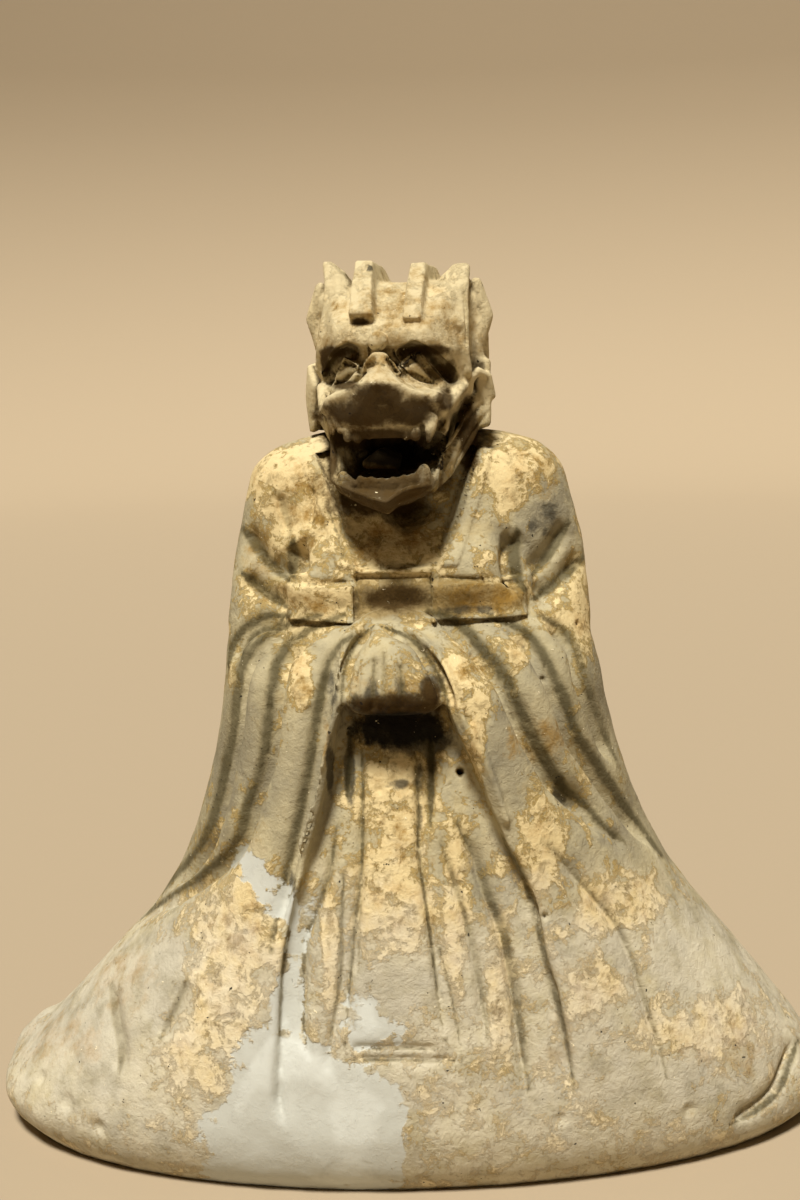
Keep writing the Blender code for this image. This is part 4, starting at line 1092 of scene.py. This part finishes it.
# Corners of the mended areas and of the bare sash blocks, and the width of their soft edge.
outlines = {
    "plaster": (
        ((258, 1022), (300, 1030), (345, 1064), (395, 1068), (416, 1110), (396, 1200), (203, 1200),
         (203, 1130), (228, 1083)),
        ((283, 900), (312, 896), (300, 960), (303, 1040), (262, 1040), (284, 960)),
        ((222, 856), (252, 846), (304, 900), (300, 940), (264, 908)),
        ((352, 985), (378, 992), (404, 1044), (346, 1048)),
    ),
    "belt": (
        ((357, 578), (431, 578), (431, 616), (357, 619)),
        ((431, 578), (480, 580), (525, 586), (524, 607), (478, 612), (431, 615)),
    ),
    "edges": {"plaster": 40, "belt": 8},
}

# Painted shade and dirt along a fold, in half widths for each part of the fold's own width, and how it thins
# at the ends.
shadeAndDirtStyle = {
    "width": 2.5, "gentle": 1.6, "steep": 0.9, "gentleTail": 3.0, "steepTail": 1.6, "tail": 0.3,
    "thinnest": 0.4, "startTaper": 0.1, "taper": 0.35, "reach": 6,
}


def seenPixels(points):  # where points in metres fall in the photograph
    view = np.array(camera.matrix_world.inverted())
    seen = points @ view[:3, :3].T + view[:3, 3]
    depth = -seen[:, 2]
    x = photoFrame["width"] / 2 + photoFrame["focalLength"] * seen[:, 0] / depth
    y = photoFrame["height"] / 2 - photoFrame["focalLength"] * seen[:, 1] / depth
    return x, y


def patchMask(x, y, name):  # one in the middle of a patch, half at its edge
    mask = np.zeros(len(x))
    for middleX, middleY, halfX, halfY in patches[name]:
        reach = np.hypot((x - middleX) / halfX, (y - middleY) / halfY)
        mask = np.maximum(mask, np.clip(1.5 - reach, 0, 1))
    return mask


def foldMask(x, y):  # the painted shade and dirt that lie along each fold
    style = shadeAndDirtStyle
    mask = np.zeros(len(x))
    for width, depth, step, shadeAndDirt, course in frontFolds + dressLines + headFolds:
        spots = curve(course, foldStyle["pixelSpacing"])
        half = style["width"] * width
        margin = style["reach"] * half
        near = (x > spots[:, 0].min() - margin) & (x < spots[:, 0].max() + margin)
        near &= (y > spots[:, 1].min() - margin) & (y < spots[:, 1].max() + margin)
        near = np.where(near)[0]
        across, down = x[near][:, None] - spots[None, :, 0], y[near][:, None] - spots[None, :, 1]
        index = np.hypot(across, down).argmin(axis=1)
        rows = np.arange(len(near))
        across, down = across[rows, index], down[rows, index]
        alongX, alongY = np.gradient(spots[:, 0])[index], np.gradient(spots[:, 1])[index]
        gentle = (across * alongY - down * alongX) * lean(depth, step) > 0
        share = index / len(spots)
        taper = smoothStep(np.minimum(share + style["startTaper"], 1 - share) / style["taper"])
        taper = style["thinnest"] + (1 - style["thinnest"]) * taper
        reach = np.hypot(across, down) / (half * taper * np.where(gentle, style["gentle"], style["steep"]))
        edge = np.clip(np.where(gentle, 1.5 - reach, 0.5 + (1 - reach) / style["steep"]), 0, 1)
        fading = np.where(gentle, style["gentleTail"], style["steepTail"])
        tail = style["tail"] * np.exp(-((reach / fading) ** 2))
        mask[near] = np.maximum(mask[near], shadeAndDirt * np.maximum(edge, tail))
    return mask


def outlineMask(x, y, outline, edge):  # from nought to one over the given width at the outline
    inside = np.zeros(len(x), bool)
    gap = np.full(len(x), 1e9)
    for (x1, y1), (x2, y2) in zip(outline, outline[1:] + outline[:1]):
        crosses = (y1 > y) != (y2 > y)
        inside ^= crosses & (x < (x2 - x1) * (y - y1) / (y2 - y1 + 1e-9) + x1)
        along = ((x - x1) * (x2 - x1) + (y - y1) * (y2 - y1)) / ((x2 - x1) ** 2 + (y2 - y1) ** 2)
        along = np.clip(along, 0, 1)
        gap = np.minimum(gap, np.hypot(x - x1 - along * (x2 - x1), y - y1 - along * (y2 - y1)))
    return np.clip(0.5 + np.where(inside, gap, -gap) / edge, 0, 1)


# Rays sent out from each point to find how sheltered it is, and how far they look.
shelter = {"rays": 16, "reach": 16, "start": 0.1}


def shelterMask(obj):  # how far each point lies in a hollow, from nought to one
    tree = surfaceTree(obj)
    golden = pi * (3 - 5**0.5)
    count = shelter["rays"]
    tilts = [((i + 0.5) / count) ** 0.5 for i in range(count)]
    rays = [(t * cos(i * golden), t * sin(i * golden), (1 - t * t) ** 0.5) for i, t in enumerate(tilts)]
    rays = [Vector(ray) for ray in rays]
    mask = np.empty(len(obj.data.vertices))
    reach = shelter["reach"] * part
    for index, vert in enumerate(obj.data.vertices):
        normal = vert.normal
        turn = Vector((0, 0, 1)).rotation_difference(normal)
        start = vert.co + normal * shelter["start"] * part
        blocked = 0
        for ray in rays:
            distance = tree.ray_cast(start, turn @ ray, reach)[3]
            if distance is not None:
                blocked += 1 - 0.5 * distance / reach
        mask[index] = blocked / count
    return mask


def addMask(obj, name, values):
    attribute = obj.data.attributes.new(name, "FLOAT", "POINT")
    attribute.data.foreach_set("value", values.astype(np.float32))


maskNames = ("slip", "dust", "ochre", "sootAndShade", "earthAndShade", "grimeAndShade", "fold", "pale", "belt", "plaster", "hollow")


def paintMasks(obj):
    points, normals = getPoints(obj)
    x, y = seenPixels(points * part)
    seen = smoothStep(-2.5 * normals[:, 1] + 0.6)
    hidden, shown, patched = clayFinish["slipShares"]
    slip = shown + patched * (patchMask(x, y, "slip") - patchMask(x, y, "bare"))
    addMask(obj, "slip", hidden + seen * slip)
    # Dust and ochre are the clay's own colour; soot, earth and grime also carry painted shade.
    for name in ("dust", "ochre", "sootAndShade", "earthAndShade", "grimeAndShade"):
        addMask(obj, name, seen * patchMask(x, y, name))
    # Painted shade and dirt along the folds.
    addMask(obj, "fold", seen * foldMask(x, y))
    addMask(obj, "pale", smoothStep((y - clayFinish["paleFrom"]) / clayFinish["paleOver"]))
    for name, edge in outlines["edges"].items():
        mask = np.max([outlineMask(x, y, outline, edge) for outline in outlines[name]], axis=0)
        addMask(obj, name, mask * seen)
    # Painted shade with earth in the hollows, from how sheltered each point is.
    addMask(obj, "hollow", shelterMask(obj))


paintMasks(figure)
print("finish placed")


# The materials


def hexColour(text):  # an sRGB colour such as "8f8671" as linear values
    values = [int(text[i : i + 2], 16) / 255 for i in (0, 2, 4)]
    return (*[v / 12.92 if v <= 0.04045 else ((v + 0.055) / 1.055) ** 2.4 for v in values], 1)


def perMetre(millimetres):  # the scale of a pattern whose features have this size
    return 1000 / millimetres


def addNode(tree, kind, inputs=None, output=0, **settings):  # an input is a value or another node's output
    node = tree.nodes.new("ShaderNode" + kind)
    for name, value in settings.items():
        setattr(node, name, value)
    for name, value in (inputs or {}).items():
        if isinstance(value, bpy.types.NodeSocket):
            tree.links.new(value, node.inputs[name])
        else:
            node.inputs[name].default_value = value
    return node.outputs[output]


def newMaterial(name):
    material = bpy.data.materials.new(name)
    material.use_nodes = True
    tree = material.node_tree
    return material, tree, tree.nodes["Principled BSDF"]


def firedClay():
    style = clayFinish
    material, tree, shader = newMaterial("fired_clay_with_slip")
    place = addNode(tree, "TexCoord", output="Object")
    masks = {name: addNode(tree, "Attribute", output="Fac", attribute_name=name) for name in maskNames}
    patterns = {}
    for name, (size, detail, roughness, distortion, shift) in style["patterns"].items():
        moved = addNode(tree, "Mapping", {"Vector": place, "Location": (shift, shift, shift)})
        inputs = {"Vector": moved, "Scale": perMetre(size), "Detail": detail, "Roughness": roughness}
        patterns[name] = addNode(tree, "TexNoise", {**inputs, "Distortion": distortion})

    tone = addNode(tree, "MapRange", {"Value": patterns["broad"], "From Min": 0.4, "From Max": 0.62})
    low, high = [hexColour(text) for text in style["clay"]]
    colour = addNode(tree, "Mix", {0: tone, 6: low, 7: high}, output=2, data_type="RGBA")
    grain = addNode(tree, "Math", {0: patterns["grain"], 1: style["grainDepth"]}, operation="MULTIPLY")
    crust = {0: patterns["crust"], 1: style["crustDepth"], 2: grain}
    height = addNode(tree, "Math", crust, operation="MULTIPLY_ADD")

    for mask, pattern, weight, begin, full, cover, paint, thickness, smoothing in style["layers"]:
        mixed = {0: patterns[pattern], 1: weight, 2: masks[mask]}
        amount = addNode(tree, "Math", mixed, operation="MULTIPLY_ADD")
        begin, full = begin + weight / 2, full + weight / 2
        limits = {"Value": amount, "From Min": begin, "From Max": full, "To Max": cover}
        share = addNode(tree, "MapRange", limits, interpolation_type="SMOOTHSTEP")
        painted = {0: share, 6: colour, 7: hexColour(paint)}
        colour = addNode(tree, "Mix", painted, output=2, data_type="RGBA")
        if smoothing:
            kept = addNode(tree, "Math", {0: share, 1: -smoothing, 2: 1.0}, operation="MULTIPLY_ADD")
            height = addNode(tree, "Math", {0: height, 1: kept}, operation="MULTIPLY")
        if thickness:
            height = addNode(tree, "Math", {0: share, 1: thickness, 2: height}, operation="MULTIPLY_ADD")

    unmended = addNode(tree, "Math", {0: 1.0, 1: masks["plaster"]}, operation="SUBTRACT")
    for pattern, begin, full, cover, paint, thickness in style["specks"]:
        limits = {"Value": patterns[pattern], "From Min": begin, "From Max": full, "To Max": cover}
        speck = addNode(tree, "MapRange", limits)
        share = addNode(tree, "Math", {0: speck, 1: unmended}, operation="MULTIPLY")
        painted = {0: share, 6: colour, 7: hexColour(paint)}
        colour = addNode(tree, "Mix", painted, output=2, data_type="RGBA")
        height = addNode(tree, "Math", {0: share, 1: thickness, 2: height}, operation="MULTIPLY_ADD")

    base, spread = style["roughness"]
    rough = addNode(tree, "Math", {0: patterns["haze"], 1: spread, 2: base}, operation="MULTIPLY_ADD")
    gloss = {0: masks["plaster"], 1: -style["plasterGloss"], 2: rough}
    tree.links.new(addNode(tree, "Math", gloss, operation="MULTIPLY_ADD"), shader.inputs["Roughness"])
    tree.links.new(colour, shader.inputs["Base Color"])
    shader.inputs["Specular IOR Level"].default_value = style["specular"]
    relief = {"Height": height, "Strength": style["bumpStrength"], "Distance": 1 / perMetre(1)}
    bump = addNode(tree, "Bump", relief)
    tree.links.new(bump, shader.inputs["Normal"])
    return material


def paleFloor():
    material, tree, shader = newMaterial("pale_floor")
    shader.inputs["Base Color"].default_value = hexColour(stage["floorColour"])
    shader.inputs["Roughness"].default_value = 0.9
    return material


figure.data.materials.clear()
figure.data.materials.append(firedClay())
for face in figure.data.polygons:
    face.material_index = 0
print("materials made")


# The stage: a pale floor that curves up all round, and soft light from high in front

stage = {
    "floorRadius": 2.2, "bend": 0.9, "bendSteps": 12, "rim": 1.6, "turnSteps": 96, "floorColour": "a3937a",
    "keyPlace": (-0.12, -0.40, 1.0), "keyTarget": (0, 0, 0.1), "keyColour": (1, 0.955, 0.88), "keyPower": 5.5,
    "keySoftness": 12, "skyColour": "e2d3b8", "skyPower": 0.06,
}


def makeFloor():
    mesh = bmesh.new()
    radius, bend = stage["floorRadius"], stage["bend"]
    verts = [mesh.verts.new((0, 0, 0)), mesh.verts.new((radius, 0, 0))]
    for step in range(1, stage["bendSteps"] + 1):
        angle = radians(90 * step / stage["bendSteps"])
        verts.append(mesh.verts.new((radius + bend * sin(angle), 0, bend * (1 - cos(angle)))))
    verts.append(mesh.verts.new((radius + bend, 0, stage["rim"])))
    edges = [mesh.edges.new(pair) for pair in zip(verts, verts[1:])]
    bmesh.ops.spin(
        mesh, geom=verts + edges, axis=(0, 0, 1), angle=2 * pi, steps=stage["turnSteps"], use_merge=True
    )
    bmesh.ops.remove_doubles(mesh, verts=mesh.verts, dist=0.00001)
    bmesh.ops.recalc_face_normals(mesh, faces=mesh.faces)
    for face in mesh.faces:
        face.smooth = True
    data = bpy.data.meshes.new("floor")
    mesh.to_mesh(data)
    mesh.free()
    data.materials.append(paleFloor())
    return linked("floor", data)


def addKeyLight():  # so far away that only its direction matters
    data = bpy.data.lights.new("keyLight", "SUN")
    data.color = stage["keyColour"]
    data.energy = stage["keyPower"]
    data.angle = radians(stage["keySoftness"])
    light = linked("keyLight", data)
    place = Vector(stage["keyPlace"])
    aim = (Vector(stage["keyTarget"]) - place).to_track_quat("-Z", "Y").to_matrix().to_4x4()
    light.matrix_world = Matrix.Translation(place) @ aim


floor = makeFloor()
addKeyLight()
world = bpy.data.worlds.new("studio")
bpy.context.scene.world = world
world.use_nodes = True
world.node_tree.nodes["Background"].inputs["Color"].default_value = hexColour(stage["skyColour"])
world.node_tree.nodes["Background"].inputs["Strength"].default_value = stage["skyPower"]
bpy.context.scene.view_settings.view_transform = "Standard"
print("stage set")

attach(figure, "root")
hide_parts("zodiac_figure")
